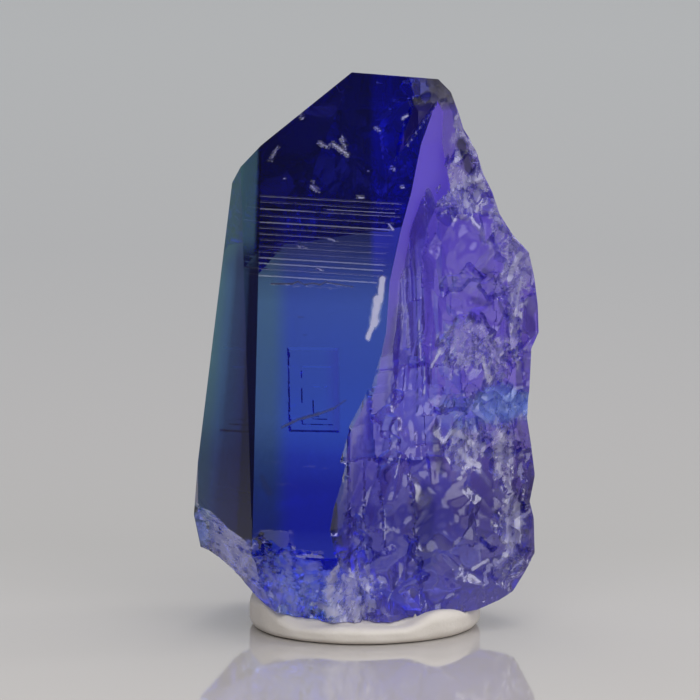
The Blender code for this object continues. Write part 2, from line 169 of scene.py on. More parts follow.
# Shallow growth terraces of the back as (x, z, width, height, depth)
BACK_TERRACES = [
    (-2.75, 12.6, 2.9, 4.9, 0.09), (-2.55, 12.3, 2.1, 3.7, 0.14), (-2.4, 11.9, 1.3, 2.4, 0.19),
]

# The sharp edge between the front face and the broken side, from the top down, as (x, z)
BREAK_EDGE = [
    (3.3, 31.4), (3.85, 29.5), (3.1, 27.4), (2.6, 24.9), (2.0, 22.7), (1.4, 19.96),
    (1.2, 17.2), (1.0, 16.3), (0.6, 13.77), (0.1, 11.96), (-0.7, 9.27), (-1.15, 7.5),
    (-1.3, 6.37), (-1.0, 4.17), (-0.93, 3.13), (0.55, 1.38),
]
# Growth lines of the front face as (height at the left outline, from x, to x, depth, wall
# height, jag, facing)
GROWTH_LINES = [
    (24.75, -6.9, 2.3, 0.007, 0.022, 0.00, 1),
    (24.45, -6.9, 2.2, 0.005, 0.020, 0.00, 1),
    (24.22, -2.4, 2.1, 0.010, 0.020, 0.00, -1),
    (24.06, -6.9, 2.2, 0.007, 0.022, 0.00, 1),
    (23.88, -5.2, -1.0, 0.010, 0.020, 0.00, -1),
    (23.70, -7.0, 1.9, 0.006, 0.022, 0.00, 1),
    (23.52, -4.0, 0.6, 0.010, 0.020, 0.00, -1),
    (23.34, -6.8, 1.8, 0.008, 0.022, 0.00, 1),
    (23.20, -2.6, 1.6, 0.010, 0.020, 0.00, -1),
    (23.04, -7.0, 1.8, 0.006, 0.020, 0.00, 1),
    (22.86, -5.0, -0.4, 0.010, 0.020, 0.00, -1),
    (22.70, -6.6, -1.6, 0.007, 0.022, 0.00, 1),
    (22.54, -2.0, 1.6, 0.012, 0.022, 0.00, -1),
    (22.40, -7.0, 1.6, 0.005, 0.020, 0.00, 1),
    (22.22, -5.0, 1.6, 0.010, 0.022, 0.00, -1),
    (22.04, -6.6, 1.5, 0.006, 0.022, 0.00, 1),
    (21.88, -5.6, -0.8, 0.012, 0.022, 0.00, -1),
    (21.74, -7.0, 1.4, 0.005, 0.020, 0.00, 1),
    (21.58, -4.6, 1.4, 0.010, 0.022, 0.00, -1),
    (21.42, -6.9, 1.4, 0.006, 0.022, 0.00, 1),
    (21.26, -1.4, 1.3, 0.010, 0.022, 0.00, -1),
    (21.12, -7.1, 1.3, 0.006, 0.022, 0.00, 1),
    (20.96, -5.6, -2.2, 0.012, 0.022, 0.00, -1),
    (20.80, -6.9, 1.2, 0.007, 0.022, 0.00, 1),
    (20.62, -3.2, 1.2, 0.012, 0.022, 0.00, -1),
    (20.46, -7.1, 1.0, 0.005, 0.020, 0.00, 1),
    (20.02, -5.1, -0.4, 0.035, 0.030, 0.10, -1),
    (18.90, -4.6, -1.2, 0.010, 0.020, 0.00, -1),
    (17.90, -4.9, -0.2, 0.012, 0.022, 0.00, -1),
    (17.00, -3.8, 0.4, 0.010, 0.020, 0.00, -1),
    (16.20, -4.4, -0.8, 0.011, 0.022, 0.00, -1),
    (15.30, -3.4, 0.2, 0.010, 0.020, 0.00, -1),
    (10.40, -5.4, -1.2, 0.007, 0.022, 0.02, 1),
    (9.30, -5.2, -1.6, 0.006, 0.022, 0.02, 1),
]
# Small white chips as (x, z, x, z, half width)
WHITE_CHIPS = [
    (1.02, 20.1, 0.88, 18.9, 0.30), (0.78, 19.0, 0.55, 17.7, 0.46), (0.48, 17.6, 0.20, 16.9, 0.26),
    (-5.1, 26.6, -4.75, 27.3, 0.10), (-3.75, 29.4, -3.35, 28.9, 0.08), (-2.5, 27.6, -2.0, 27.3, 0.10),
    (-1.7, 27.5, -0.9, 26.9, 0.13), (-1.2, 27.9, -1.0, 27.2, 0.08), (-2.9, 25.2, -2.5, 24.9, 0.08),
    (-2.7, 25.5, -2.9, 25.2, 0.06), (2.1, 28.9, 2.4, 29.0, 0.10), (0.6, 28.4, 0.9, 28.2, 0.06),
    (1.5, 26.2, 1.7, 26.1, 0.05), (-0.4, 24.6, 0.0, 24.55, 0.06), (-4.4, 25.6, -4.2, 25.6, 0.05),
    (0.1, 26.0, 0.3, 26.0, 0.05), (2.0, 25.2, 2.2, 25.1, 0.06), (-1.9, 22.3, -1.6, 22.2, 0.06),
    (-3.6, 21.9, -3.3, 21.85, 0.05), (1.35, 23.1, 1.6, 22.8, 0.10), (-2.6, 20.7, -2.3, 20.6, 0.06),
]
# Pale crushed streaks and flakes of the broken side, in the same form
PALE_STREAKS = [
    (8.1, 16.4, 8.65, 19.4, 0.12), (8.0, 19.6, 8.6, 20.8, 0.34), (3.7, 14.9, 4.2, 15.8, 0.16),
    (6.55, 15.2, 6.85, 13.8, 0.20), (4.9, 11.1, 6.0, 10.3, 0.38), (5.3, 9.9, 6.3, 9.2, 0.32),
    (7.65, 10.9, 7.4, 8.8, 0.30), (7.9, 9.6, 8.0, 8.0, 0.16), (2.05, 10.3, 1.7, 9.0, 0.08),
    (1.15, 7.3, 1.15, 5.2, 0.06), (2.6, 7.9, 2.9, 6.9, 0.09), (1.95, 3.6, 1.3, 2.1, 0.06),
    (8.45, 6.8, 8.4, 4.7, 0.34), (7.9, 6.0, 8.1, 4.5, 0.26), (6.0, 3.6, 6.8, 4.0, 0.20),
    (-0.9, 4.4, -0.2, 2.4, 0.12), (0.2, 3.0, 0.35, 1.5, 0.14), (-1.6, 4.5, -1.9, 2.4, 0.42),
    (-2.6, 1.9, -1.5, 1.5, 0.30), (3.0, 17.6, 3.1, 15.2, 0.05), (3.35, 14.9, 3.3, 13.4, 0.06),
]
# Cracks and hollows painted dark as painted shade, as (x, z, x, z, half width, strength)
PAINTED_SHADE_MARKS = [
    (-5.08, 19.85, -3.90, 19.85, 0.085, 1.0), (-3.90, 19.85, -3.63, 19.98, 0.075, 1.0),
    (-3.63, 19.98, -3.25, 19.80, 0.075, 1.0), (-3.25, 19.80, -2.81, 19.89, 0.075, 1.0),
    (-2.81, 19.89, -2.42, 19.80, 0.075, 1.0), (-2.42, 19.80, -2.05, 19.98, 0.075, 1.0),
    (-2.05, 19.93, -0.60, 19.68, 0.065, 0.9),
    (-4.55, 12.0, -3.60, 12.45, 0.13, 0.85), (-3.60, 12.45, -2.50, 12.75, 0.14, 0.9),
    (-2.50, 12.75, -1.65, 13.05, 0.12, 0.85), (-1.65, 13.05, -1.00, 13.50, 0.08, 0.8),
    (-4.15, 16.2, -4.15, 12.6, 0.045, 0.8), (-4.5, 18.1, -1.5, 17.95, 0.035, 0.6),
    (-3.9, 17.1, -0.4, 16.95, 0.035, 0.5), (-2.9, 16.1, -0.9, 16.0, 0.035, 0.5),
    (-3.6, 14.3, -1.9, 14.2, 0.045, 0.6), (-3.4, 13.6, -1.6, 13.5, 0.045, 0.6),
    (5.3, 27.3, 5.8, 25.7, 0.45, 0.9), (2.75, 21.4, 2.95, 16.5, 0.055, 0.7),
    (2.95, 16.8, 2.9, 12.4, 0.06, 0.7), (2.35, 20.6, 2.45, 15.0, 0.04, 0.6),
    (3.9, 11.5, 4.2, 9.2, 0.45, 0.6), (3.2, 7.9, 3.4, 4.4, 1.0, 0.45), (6.6, 20.2, 7.2, 19.6, 0.25, 0.6),
    (1.9, 18.2, 1.4, 13.4, 0.55, 0.35), (6.0, 18.6, 6.9, 18.2, 0.3, 0.5),
    (-5.6, 9.3, -5.2, 8.4, 0.30, 0.4), (-0.65, 5.4, -0.9, 4.2, 0.10, 0.6),
]

EDGE_RAMP = 1.15            # depth per millimetre of the smooth facet along the break's edge
HOLLOW_SHARE = 0.75         # how deep the break's hollows are, since the splinters deepen them
LEVELLED = 0.95             # depth taken off the break for its splinters, away from its edge
FLANK_LEVELLED = 0.6        # the same for the flank
CORNER_SHARE = 0.7          # how deep the splinters of the lower left corner are
CHIP_RISE = 1.385           # height per millimetre across of the chipped top corner's border
SHARP_ANGLE = math.radians(24)

# Rough, frosted patches of the break as (x, z, half width, half height, strength)
FROST_PATCHES = [
    (5.3, 24.7, 1.6, 1.6, 1.0), (5.6, 27.6, 0.8, 2.2, 0.9), (7.5, 22.9, 0.6, 1.6, 0.7),
    (8.4, 20.4, 0.9, 2.4, 0.85), (5.3, 19.6, 1.2, 0.6, 0.6), (7.2, 19.2, 0.9, 0.6, 0.55),
    (8.3, 17.4, 0.40, 3.0, 1.0), (5.6, 16.0, 1.6, 1.6, 0.85), (7.2, 14.9, 0.7, 1.7, 0.95),
    (6.0, 13.0, 2.6, 0.40, 0.5), (7.9, 12.4, 1.4, 0.85, 0.9), (5.3, 12.6, 1.4, 0.5, 0.6),
    (5.6, 10.4, 1.1, 1.6, 1.0), (7.7, 9.9, 0.7, 2.0, 1.0), (1.4, 11.3, 0.5, 2.6, 0.35),
    (-0.2, 4.2, 0.6, 3.2, 0.5), (8.0, 3.6, 0.9, 0.8, 0.4), (8.1, 5.8, 0.6, 1.9, 1.0),
    (-8.2, 4.6, 2.4, 2.6, 0.85), (-0.9, 2.4, 1.7, 1.9, 1.0), (-4.2, 3.0, 2.9, 2.4, 0.6),
    (4.0, 30.5, 0.9, 1.2, 0.55), (6.5, 4.9, 0.5, 0.25, 0.7), (2.8, 4.0, 0.3, 1.4, 0.4),
]

# Tints of the growth zones by height in millimetres; from about 20 mm up they darken to a grey-blue that is
# painted shade for the crystal's dark top
GROWN_TINTS_AND_TOP_SHADE = [
    (0.0, "#b4d0ff"), (3.0, "#b0d0ff"), (4.6, "#4456d0"), (8.8, "#5064d0"), (10.6, "#7cb8ff"),
    (14.0, "#7fafec"), (18.6, "#86b2e4"), (20.4, "#5c72a4"), (21.6, "#4c5a84"), (22.8, "#444c6c"),
    (24.5, "#464a5c"), (31.4, "#464858"),
]
# Tints from the left outline to the front face's edge, and how they darken by height
LEFT_TINTS = [
    (0.0, "#84cc84"), (0.28, "#6cb078"), (0.42, "#365a4a"), (0.70, "#242e40"), (0.77, "#060418"),
    (1.0, "#060418"),
]
LEFT_SHADES = [
    (0.0, "#ffffff"), (4.5, "#90a4b8"), (8.0, "#8ca0b0"), (11.0, "#a8a8c4"), (15.0, "#e8f0f0"),
    (31.4, "#ffffff"),
]
# Tints by height beside that edge, along the broken side and on its smooth facet
# Beside the edge too, the darker tints from about 20 mm up are painted shade for the crystal's dark top
TEAL_TINTS_AND_TOP_SHADE = [
    (0.0, "#a9bdff"), (4.6, "#4a629c"), (8.8, "#5a8894"), (11.0, "#92ccbc"), (18.8, "#9ad6bc"),
    (20.6, "#688880"), (22.4, "#4b5450"), (31.4, "#4b4b44"),
]
VIOLET_TINTS = [
    (0.0, "#9c94f4"), (3.0, "#9488d4"), (7.0, "#7060ac"), (10.4, "#a088e8"), (13.6, "#a084ff"),
    (21.0, "#9c80ff"), (25.0, "#8468f0"), (29.2, "#7c60e8"), (29.8, "#302c48"), (31.4, "#242034"),
]
# On the smooth facet the violet, lightest from 20 mm up, is painted sheen for the lit facet; its satin
# roughness is real
SATIN_TINTS_AND_PAINTED_SHEEN = [
    (0.0, "#3c3280"), (10.0, "#3c3284"), (16.0, "#4a3c9c"), (20.0, "#7458e8"), (24.0, "#785cff"),
    (31.4, "#805cff"),
]
# Painted light on the table: its shades from just in front of the pad, where it is lightest, to far behind
# it
FLOOR_PAINTED_LIGHT_STOPS = [
    (0.0, "#c1bbb6"), (0.11, "#bdb8b5"), (0.22, "#b2aeaa"), (0.38, "#b0acaa"), (0.66, "#a9a8a8"),
    (1.0, "#b0b1b1"),
]

# x of the left outline and of the front face's edge, as the rise with height and x at 0
LEFT_OUTLINE_LINE = (0.1225, -10.285)
FRONT_EDGE_LINE = (0.0225, -6.235)
GRID_FOOT, GRID_TOP = 4.2, 31.39    # heights of the grid's lowest and highest row on the left

FACES = growth_faces()
BREAK = (BREAK_POINTS[0], outward_of(*BREAK_POINTS))
CORNER = (CORNER_POINTS[0], outward_of(*CORNER_POINTS))
FOOT = ((-3.0, -6.42, 2.7), unit((-0.06, -1, -0.36)))


def plane_y(face, x, z):
    """Depth of a plane over (x, z): its point's y less the slope along x and z."""
    point, outward = face
    rise = outward[0] * (x - point[0]) + outward[2] * (z - point[2])
    return point[1] - rise / outward[1]


def surface_axes(outward, tilt):
    """Rows across, inward and up of a surface that looks along outward, turned by tilt."""
    across = unit(np.cross((0, 0, 1), outward))
    up = np.cross(outward, across)
    turn = math.radians(tilt)
    return np.array((
        math.cos(turn) * across - math.sin(turn) * up,
        -np.asarray(outward),
        math.sin(turn) * across + math.cos(turn) * up,
    ))


def wedge_span(middle, outward, planes, tilt, x, z):
    """Where a line along y through (x, z) is inside the wedge that the local planes bound.

    Each plane is a point and a normal in the surface's own across, inward and up axes. The
    span is from the highest plane that looks towards -Y to the lowest that looks to +Y.
    """
    axes = surface_axes(outward, tilt)
    enters = np.full_like(x, -99)
    leaves = np.full_like(x, 99)
    for point, normal in planes:
        face = (np.asarray(middle) + np.asarray(point) @ axes, np.asarray(normal) @ axes)
        depth = plane_y(face, x, z)
        if face[1][1] > 0:
            leaves = np.minimum(leaves, depth)
        else:
            enters = np.maximum(enters, depth)
    return enters, leaves


def terrace_planes(width, height, depth):
    """A terrace's floor and its four slanting walls, each as a point and a normal."""
    return [
        ((0, depth, 0), (0, 1, 0)),
        ((width / 2, 0, 0), (1, 1.6, 0)), ((-width / 2, 0, 0), (-1, 1.6, 0)),
        ((0, 0, height / 2), (0, 1.6, 1)), ((0, 0, -height / 2), (0, 1.6, -1)),
    ]


def on_plane(face, x, z):
    """The point of a plane at (x, z)."""
    return (x, float(plane_y(face, x, z)), z)


def cell_random(column, row, seed, count):
    """Repeatable numbers from 0 to 1 for each whole-numbered cell, by an integer hash."""
    made = []
    for turn in range(count):
        mix = column * 374761393 + row * 668265263 + (seed * 31 + turn) * 1442695041
        mix = mix & 0xFFFFFFFF
        mix = (mix ^ (mix >> 13)) * 1274126177 & 0xFFFFFFFF
        mix = (mix ^ (mix >> 16)) * 1597334677 & 0xFFFFFFFF
        made.append((mix ^ (mix >> 15)) / 0xFFFFFFFF)
    return made


def hackle(across, up, cell, slope, seed, bowl=0.3):
    """Depth of a splintery broken surface, a share of a cell deep, or more with flat bowls.

    Each cell holds one random point with a random tilted plane that falls off as a shallow
    bowl. The depth is the greatest of the bowls round (across, up), so the surface is made
    of tilted facets and shells that meet in sharp crests.
    """
    across = across / cell
    up = up / cell
    column = np.floor(across).astype(np.int64)
    row = np.floor(up).astype(np.int64)
    depth = np.full_like(across, -9.0)
    for step_across in (-2, -1, 0, 1, 2):
        for step_up in (-2, -1, 0, 1, 2):
            c, r = column + step_across, row + step_up
            jitter_a, jitter_u, high, tilt_a, tilt_u = cell_random(c, r, seed, 5)
            da = across - (c + jitter_a)
            du = up - (r + jitter_u)
            lean = slope * ((tilt_a * 2 - 1) * da + (tilt_u * 2 - 1) * du)
            depth = np.maximum(depth, high * 0.35 + lean - bowl * (da ** 2 + du ** 2))
    return np.maximum(depth + 0.2, 0) * cell


def front_grown(x, z):
    """The unbroken front: the highest of the planes of the front and left growth faces."""
    depth = plane_y(FACES["front"], x, z)
    for name in ("strip", "left", "left_edge"):
        depth = np.maximum(depth, plane_y(FACES[name], x, z))
    return depth


def back_grown(x, z):
    """The unbroken back: the lowest of the planes of the back and chisel faces."""
    depth = plane_y(FACES["back"], x, z)
    for name in ("back_left", "chisel_left", "chisel_top"):
        depth = np.minimum(depth, plane_y(FACES[name], x, z))
    return depth


def flank_y(x, z):
    """Depth of the flat broken flank."""
    return np.minimum(plane_y(FLANK[0], x, z), plane_y(FLANK[1], x, z))


def front_planes(x, z):
    """The front with nothing but flat faces."""
    broken = np.maximum(plane_y(BREAK, x, z), plane_y(CORNER, x, z))
    return np.maximum(front_grown(x, z), broken)


def back_planes(x, z):
    """The back with nothing but flat faces."""
    return np.minimum(back_grown(x, z), np.minimum(flank_y(x, z), plane_y(BASE, x, z)))


def turned_axes(x, z, middle, tilt):
    """Distances across and up from a middle, in axes turned by tilt."""
    turn = math.radians(tilt)
    across, up = x - middle[0], z - middle[1]
    return (math.cos(turn) * across - math.sin(turn) * up,
            math.sin(turn) * across + math.cos(turn) * up)


def hollow(x, z, a, u, half_width, half_height, depth, tilt):
    """Depth of a shell-shaped hollow: depth times (1 - r squared), r = 1 on its edge."""
    across, up = turned_axes(x, z, (a, u), tilt)
    return depth * (1 - (across / half_width) ** 2 - (up / half_height) ** 2)


def groove(x, z, a, u, half_height, depth, tilt, side):
    """Depth of a cleavage step: a steep wall, then a gentle floor that runs out.

    The wall's depth is 1.5 per millimetre across and the floor's falls by 0.45 per
    millimetre. The step's depth falls to nothing at its ends with the square of the height.
    """
    across, up = turned_axes(x, z, (a, u), tilt)
    full = depth * 1.3 * (1 - (up / half_height) ** 2)
    across = across * side
    return np.minimum(1.5 * across, full - 0.45 * across)


def wandering(x, z):
    """The place moved by slow waves, so that the edges of the hollows wander."""
    return (x + 0.26 * np.sin(1.9 * z + 1.1 * x) + 0.13 * np.sin(4.3 * z - 2.7 * x + 1),
            z + 0.50 * np.sin(1.6 * x - 0.8 * z + 2) + 0.22 * np.sin(3.7 * x + 2.9 * z))


def deepest(x, z, scoops):
    """Depth of the deepest of some hollows at a place, with edges that wander."""
    there_x, there_z = wandering(x, z)
    depth = np.zeros_like(x)
    for scoop in scoops:
        depth = np.maximum(depth, hollow(there_x, there_z, *scoop))
    return depth


def break_depth(x, z):
    """How far the broken side lies behind its plane: hollows, steps, splinters and fibres.

    The splinters' mean depth is taken off from 1.3 to 2.9 mm beside the break's edge on.
    """
    depth = deepest(x, z, LONG_SCOOPS + BREAK_SCOOPS) * HOLLOW_SHARE
    for step in CLEAVAGE_STEPS:
        depth = np.maximum(depth, groove(x, z, *step))
    beside = np.clip((x - edge_of_break(z) - 1.3) / 1.6, 0, 1)
    return depth + 0.1 - LEVELLED * beside + splinters(x, z) + fibres(x, z)


def row_fall(level):
    """How much a row of the grid falls per millimetre to the right, and x of its left end."""
    share = (level - GRID_FOOT) / (GRID_TOP - GRID_FOOT)
    right = np.array(RIGHT_OUTLINE)
    right_z = right[0, 1] + (right[-1, 1] - right[0, 1]) * share
    right_x = np.interp(right_z, right[:, 1], right[:, 0])
    left_x = float(left_outline([level])[0])
    return (level - right_z) / (right_x - left_x), left_x


def line_relief(x, z, line):
    """Depth of one growth line: a wall, then a gentle floor.

    The line falls to the right with the grid's rows and jags by a triangle wave. Its depth
    is the lesser of the wall, 1 per millimetre, and the floor, and fades at both ends. The
    wall faces up and catches the light, or with facing -1 faces down and stays dark.
    """
    level, start, end, depth, height, jag, facing, fall, left_x = line
    wave = jag * (np.abs((x * 1.9 + 0.4 * np.sin(3 * x)) % 2 - 1) - 0.5)
    above = facing * (z - (level - fall * (x - left_x) + wave))
    gentle = 0.5 if facing > 0 else 0.06
    ends = np.clip(np.minimum(x - start, end - x) * 3, 0, 1)
    return np.clip(np.minimum(above + height, (depth + height - above) * gentle), 0, depth) * ends


def growth_relief(x, z):
    """Depth of the growth lines, the dark cracks and the small chips of the front face."""
    depth = np.zeros_like(x)
    for line in LAID_LINES:
        depth = np.maximum(depth, line_relief(x, z, line))
    return depth + 0.09 * capsules(x, z, WHITE_CHIPS) + 0.004 * capsules(x, z, PAINTED_SHADE_MARKS)


def capsules(x, z, marks):
    """Share from 0 to 1 of how far a place is inside ragged marks round short lines.

    A mark is (x, z, x, z, half width) and may end with its strength.
    """
    ragged = hackle(x, z * 0.6, 0.14, 0.9, 41) * 1.6
    made = np.zeros_like(x)
    for x0, z0, x1, z1, half_width, *strength in marks:
        length = (x1 - x0) ** 2 + (z1 - z0) ** 2 + 1e-9
        along = np.clip(((x - x0) * (x1 - x0) + (z - z0) * (z1 - z0)) / length, 0, 1)
        away = np.hypot(x - x0 - along * (x1 - x0), z - z0 - along * (z1 - z0))
        share = np.clip((1 - away / half_width - ragged) * 2.5, 0, 1)
        made = np.maximum(made, share * (strength[0] if strength else 1))
    return made


def edge_of_break(z):
    """x of the sharp edge between the front face and the broken side at a height."""
    edge_x, edge_z = np.array(BREAK_EDGE[::-1]).T
    return np.interp(z, edge_z, edge_x)


def chip_border(x):
    """How far the chipped top corner's border has risen at x, from where it meets the edge."""
    return CHIP_RISE * (x - 3.85)


def edge_ramp_y(x, z):
    """Depth of the smooth facet that starts on the break's edge."""
    return plane_y(FACES["front"], x, z) + EDGE_RAMP * (x - edge_of_break(z))


def front_sheet(x, z):
    """Depth of the front: growth faces, or the broken surface where that lies deeper.

    Beside the break's edge the surface can't be deeper than a ramp that starts on the edge,
    so the edge runs exactly where it is drawn and has a smooth facet along it.
    """
    relief = growth_relief(x, z)
    grown = np.maximum(front_grown(x, z), plane_y(FACES["front"], x, z) + relief)
    grown = np.maximum(grown, plane_y(FACES["strip"], x, z) + relief * (z > 19.5))
    broken = plane_y(BREAK, x, z) + break_depth(x, z)
    rough_ramp = np.where(z > 29.5 + chip_border(x), 1, 0.5 * np.clip((16 - z) / 4, 0, 1))
    ramp = edge_ramp_y(x, z) + (splinters(x, z) + 0.25) * rough_ramp
    ramp = ramp + np.maximum(fibres(x, z), 0) * np.clip((x - edge_of_break(z) - 0.5) * 2, 0, 1)
    broken = np.minimum(broken, ramp)
    foot = plane_y(FOOT, x, z) + (deepest(x, z, FOOT_SCOOPS) + splinters(x, z))
    corner_depth = deepest(x, z, CORNER_SCOOPS) + splinters(x, z) * CORNER_SHARE
    corner = plane_y(CORNER, x, z) + corner_depth
    return np.maximum(np.maximum(grown, broken), np.maximum(foot, corner))


def roughness_of(x, z):
    """Share from 0 to 1 of how hackly the break is at a place, from its rough patches."""
    rough = np.zeros_like(x)
    for a, u, half_width, half_height, strength in FROST_PATCHES:
        near = 1 - ((x - a) / half_width) ** 2 - ((z - u) / half_height) ** 2
        rough = np.maximum(rough, np.clip(near * 1.6, 0, 1) * strength)
    return rough


def splinters(x, z):
    """Depth of the break's own relief: upright facets, and fine hackle in rough patches.

    Part of each hackle's mean is taken off, so rough patches lie nearly level with the rest.
    The foot of the break and a patch high on it are calmer.
    """
    rough = roughness_of(x + 0.35 * np.sin(2.1 * z + x) + 0.2 * np.sin(5.3 * z - 2 * x),
                         z + 0.4 * np.sin(1.7 * x + 1) + 0.2 * np.sin(4.9 * x + z))
    calm = 1 - 0.95 * np.clip(1.5 - np.hypot((x - 4.4) / 3.3, (z - 5.2) / 3.8), 0, 1)
    calm = calm * (1 - 0.85 * np.clip(1.5 - np.hypot((x - 5.9) / 1.8, (z - 21.3) / 2.3), 0, 1))
    large = hackle(x + 0.1 * z, z * 0.34, 1.7, 0.9, 19, 0.12) - 0.6
    coarse = hackle(x, z * 0.26, 0.80, 1.0, 3, 0.14) - 0.3
    middle = hackle(x + 0.12 * z, z * 0.40, 0.38, 1.0, 7, 0.2) - 0.15
    fine = hackle(x + 0.08 * z, z * 0.5, 0.17, 1.0, 11) - 0.06
    return (large * (0.06 + 0.34 * calm) + coarse * (0.2 * calm + 0.35 * rough)
            + middle * (0.06 * calm + 0.75 * rough) + fine * (0.07 * calm + 1.1 * rough))


def fibres(x, z):
    """Depth of the upright fibres beside the smooth facet: a hackle stretched in height."""
    amount = np.clip(1.4 - np.hypot((x - 3.1) / 1.3, (z - 16.5) / 6.5), 0, 1)
    return (hackle(x + 0.05 * z, z * 0.09, 0.24, 1.3, 47) - 0.06) * amount * 0.9


def back_sheet(x, z):
    """Depth of the back: growth faces with terraces, or the broken flank and base."""
    grown = back_grown(x, z)
    back_out = FACES["back"][1]
    for a, u, width, height, depth in BACK_TERRACES:
        planes = terrace_planes(width, height, depth)
        enters, leaves = wedge_span(on_plane(FACES["back"], a, u), back_out, planes, 0, x, z)
        grown = np.where((enters < grown) & (leaves > grown), enters, grown)
    broken = flank_y(x, z)
    along = np.clip(broken, -8, 8) / FLANK_SLOPE
    depth = np.zeros_like(x)
    for y, *scoop in FLANK_SCOOPS:
        depth = np.maximum(depth, hollow(along, z, y / FLANK_SLOPE, *scoop))
    broken = broken - (depth + splinters(along + 40, z) - FLANK_LEVELLED) / FLANK_LOOK
    base = plane_y(BASE, x, z) - splinters(x + 40, along)
    return np.minimum(grown, np.minimum(broken, base))


def left_outline(z):
    """x of the left outline at each height: where the front and back planes meet.

    It is found on a fine row of x: the first place where the back is behind the front, moved
    to the exact crossing by linear interpolation, which is exact between two planes.
    """
    x = np.linspace(-10.2, 3.0, 2400)[None, :]
    height = np.asarray(z, float)[:, None]
    depth = back_planes(x + 0 * height, height + 0 * x) - front_planes(x + 0 * height, height + 0 * x)
    first = np.argmax(depth > 0, axis=1)
    first = np.maximum(first, 1)
    rows = np.arange(len(first))
    before, after = depth[rows, first - 1], depth[rows, first]
    share = np.clip(before / (before - after), 0, 1)
    return x[0, first - 1] + share * (x[0, 1] - x[0, 0])


def spaced(stretches):
    """Levels made of stretches given as (from, to, step), joined without doubles."""
    levels = [np.array([stretches[0][0]])]
    for low, high, step in stretches:
        count = max(1, round((high - low) / step))
        levels.append(np.linspace(low, high, count + 1)[1:])
    return np.concatenate(levels)


def outline_grid(across, heights):
    """(x, z) over the crystal's outline for shares across and heights, as a Coons patch.

    The left and right outlines are joined row by row, and the base outline's departure from
    the straight line between its ends is added, fading with the cube up to the middle.
    """
    low, high = heights[0], heights[-1]
    share = (heights - low) / (high - low)
    left_x = left_outline(heights)
    base_x, base_z = np.array([(left_x[0], low)] + BASE_OUTLINE[1:]).T
    right = np.array(RIGHT_OUTLINE)
    right_z = right[0, 1] + (right[-1, 1] - right[0, 1]) * share
    right_x = np.interp(right_z, right[:, 1], right[:, 0])
    u = across[None, :]
    x = (1 - u) * left_x[:, None] + u * right_x[:, None]
    z = (1 - u) * heights[:, None] + u * right_z[:, None]
    length = np.concatenate(([0], np.cumsum(np.hypot(np.diff(base_x), np.diff(base_z)))))
    along = across * length[-1]
    bend_x = np.interp(along, length, base_x) - x[0]
    bend_z = np.interp(along, length, base_z) - z[0]
    fade = np.clip(1 - 2 * share[:, None], 0, 1) ** 3
    return x + fade * bend_x, z + fade * bend_z


def sheet_slopes(sheet, x, z):
    """A sheet's depth and its unit normal, from depths a hair to the side and above."""
    hair = 1e-4
    y = sheet(x, z)
    by_x = (sheet(x + hair, z) - y) / hair
    by_z = (sheet(x, z + hair) - y) / hair
    return y, unit(np.stack((-by_x, np.ones_like(y), -by_z), -1))


def crease_points(sheet, x, z):
    """One point per cell of the grid, on the crease where its corners' planes meet.

    It is the least-squares meeting point of the tangent planes at the four corners, held
    near their middle by a small weight, so flat cells keep their middle and cells across an
    edge put their point on that edge.
    """
    y, normal = sheet_slopes(sheet, x, z)
    points = np.stack((x, y, z), -1)
    corners = [(slice(None, -1), slice(None, -1)), (slice(1, None), slice(None, -1)),
               (slice(1, None), slice(1, None)), (slice(None, -1), slice(1, None))]
    middle = sum(points[c] for c in corners) / 4
    matrix = np.broadcast_to(np.eye(3) * 0.002, middle.shape + (3,)).copy()
    pull = np.zeros_like(middle)
    for c in corners:
        matrix += normal[c][..., :, None] * normal[c][..., None, :]
        pull += normal[c] * ((points[c] - middle) * normal[c]).sum(-1, keepdims=True)
    shift = np.linalg.solve(matrix, pull[..., None])[..., 0]
    half_x = np.abs(x[1:, 1:] - x[:-1, :-1]) * 0.5
    half_z = np.abs(z[1:, 1:] - z[:-1, :-1]) * 0.5
    shift[..., 0] = np.clip(shift[..., 0], -half_x, half_x)
    shift[..., 2] = np.clip(shift[..., 2], -half_z, half_z)
    depths = np.stack([y[c] for c in corners])
    made = middle + shift
    made[..., 1] = np.clip(made[..., 1], depths.min(0) - 0.02, depths.max(0) + 0.02)
    return made


def framed(cells, x, z, sheet):
    """The cells' points with a border of points on the outline itself round them."""
    rows, columns = cells.shape[:2]
    made = np.zeros((rows + 2, columns + 2, 3))
    made[1:-1, 1:-1] = cells
    for inner, outer, pick in (
        (made[0], 0, (0, slice(None))), (made[-1], -1, (-1, slice(None))),
        (made[:, 0], 0, (slice(None), 0)), (made[:, -1], -1, (slice(None), -1)),
    ):
        edge_x, edge_z = x[pick], z[pick]
        middle_x = np.concatenate(([edge_x[0]], (edge_x[1:] + edge_x[:-1]) / 2, [edge_x[-1]]))
        middle_z = np.concatenate(([edge_z[0]], (edge_z[1:] + edge_z[:-1]) / 2, [edge_z[-1]]))
        inner[:, 0] = middle_x
        inner[:, 2] = middle_z
        inner[:, 1] = sheet(middle_x, middle_z)
    return made


# Each growth line with the fall of its row of the grid and x of the row's left end
LAID_LINES = [line + row_fall(line[0]) for line in GROWTH_LINES]


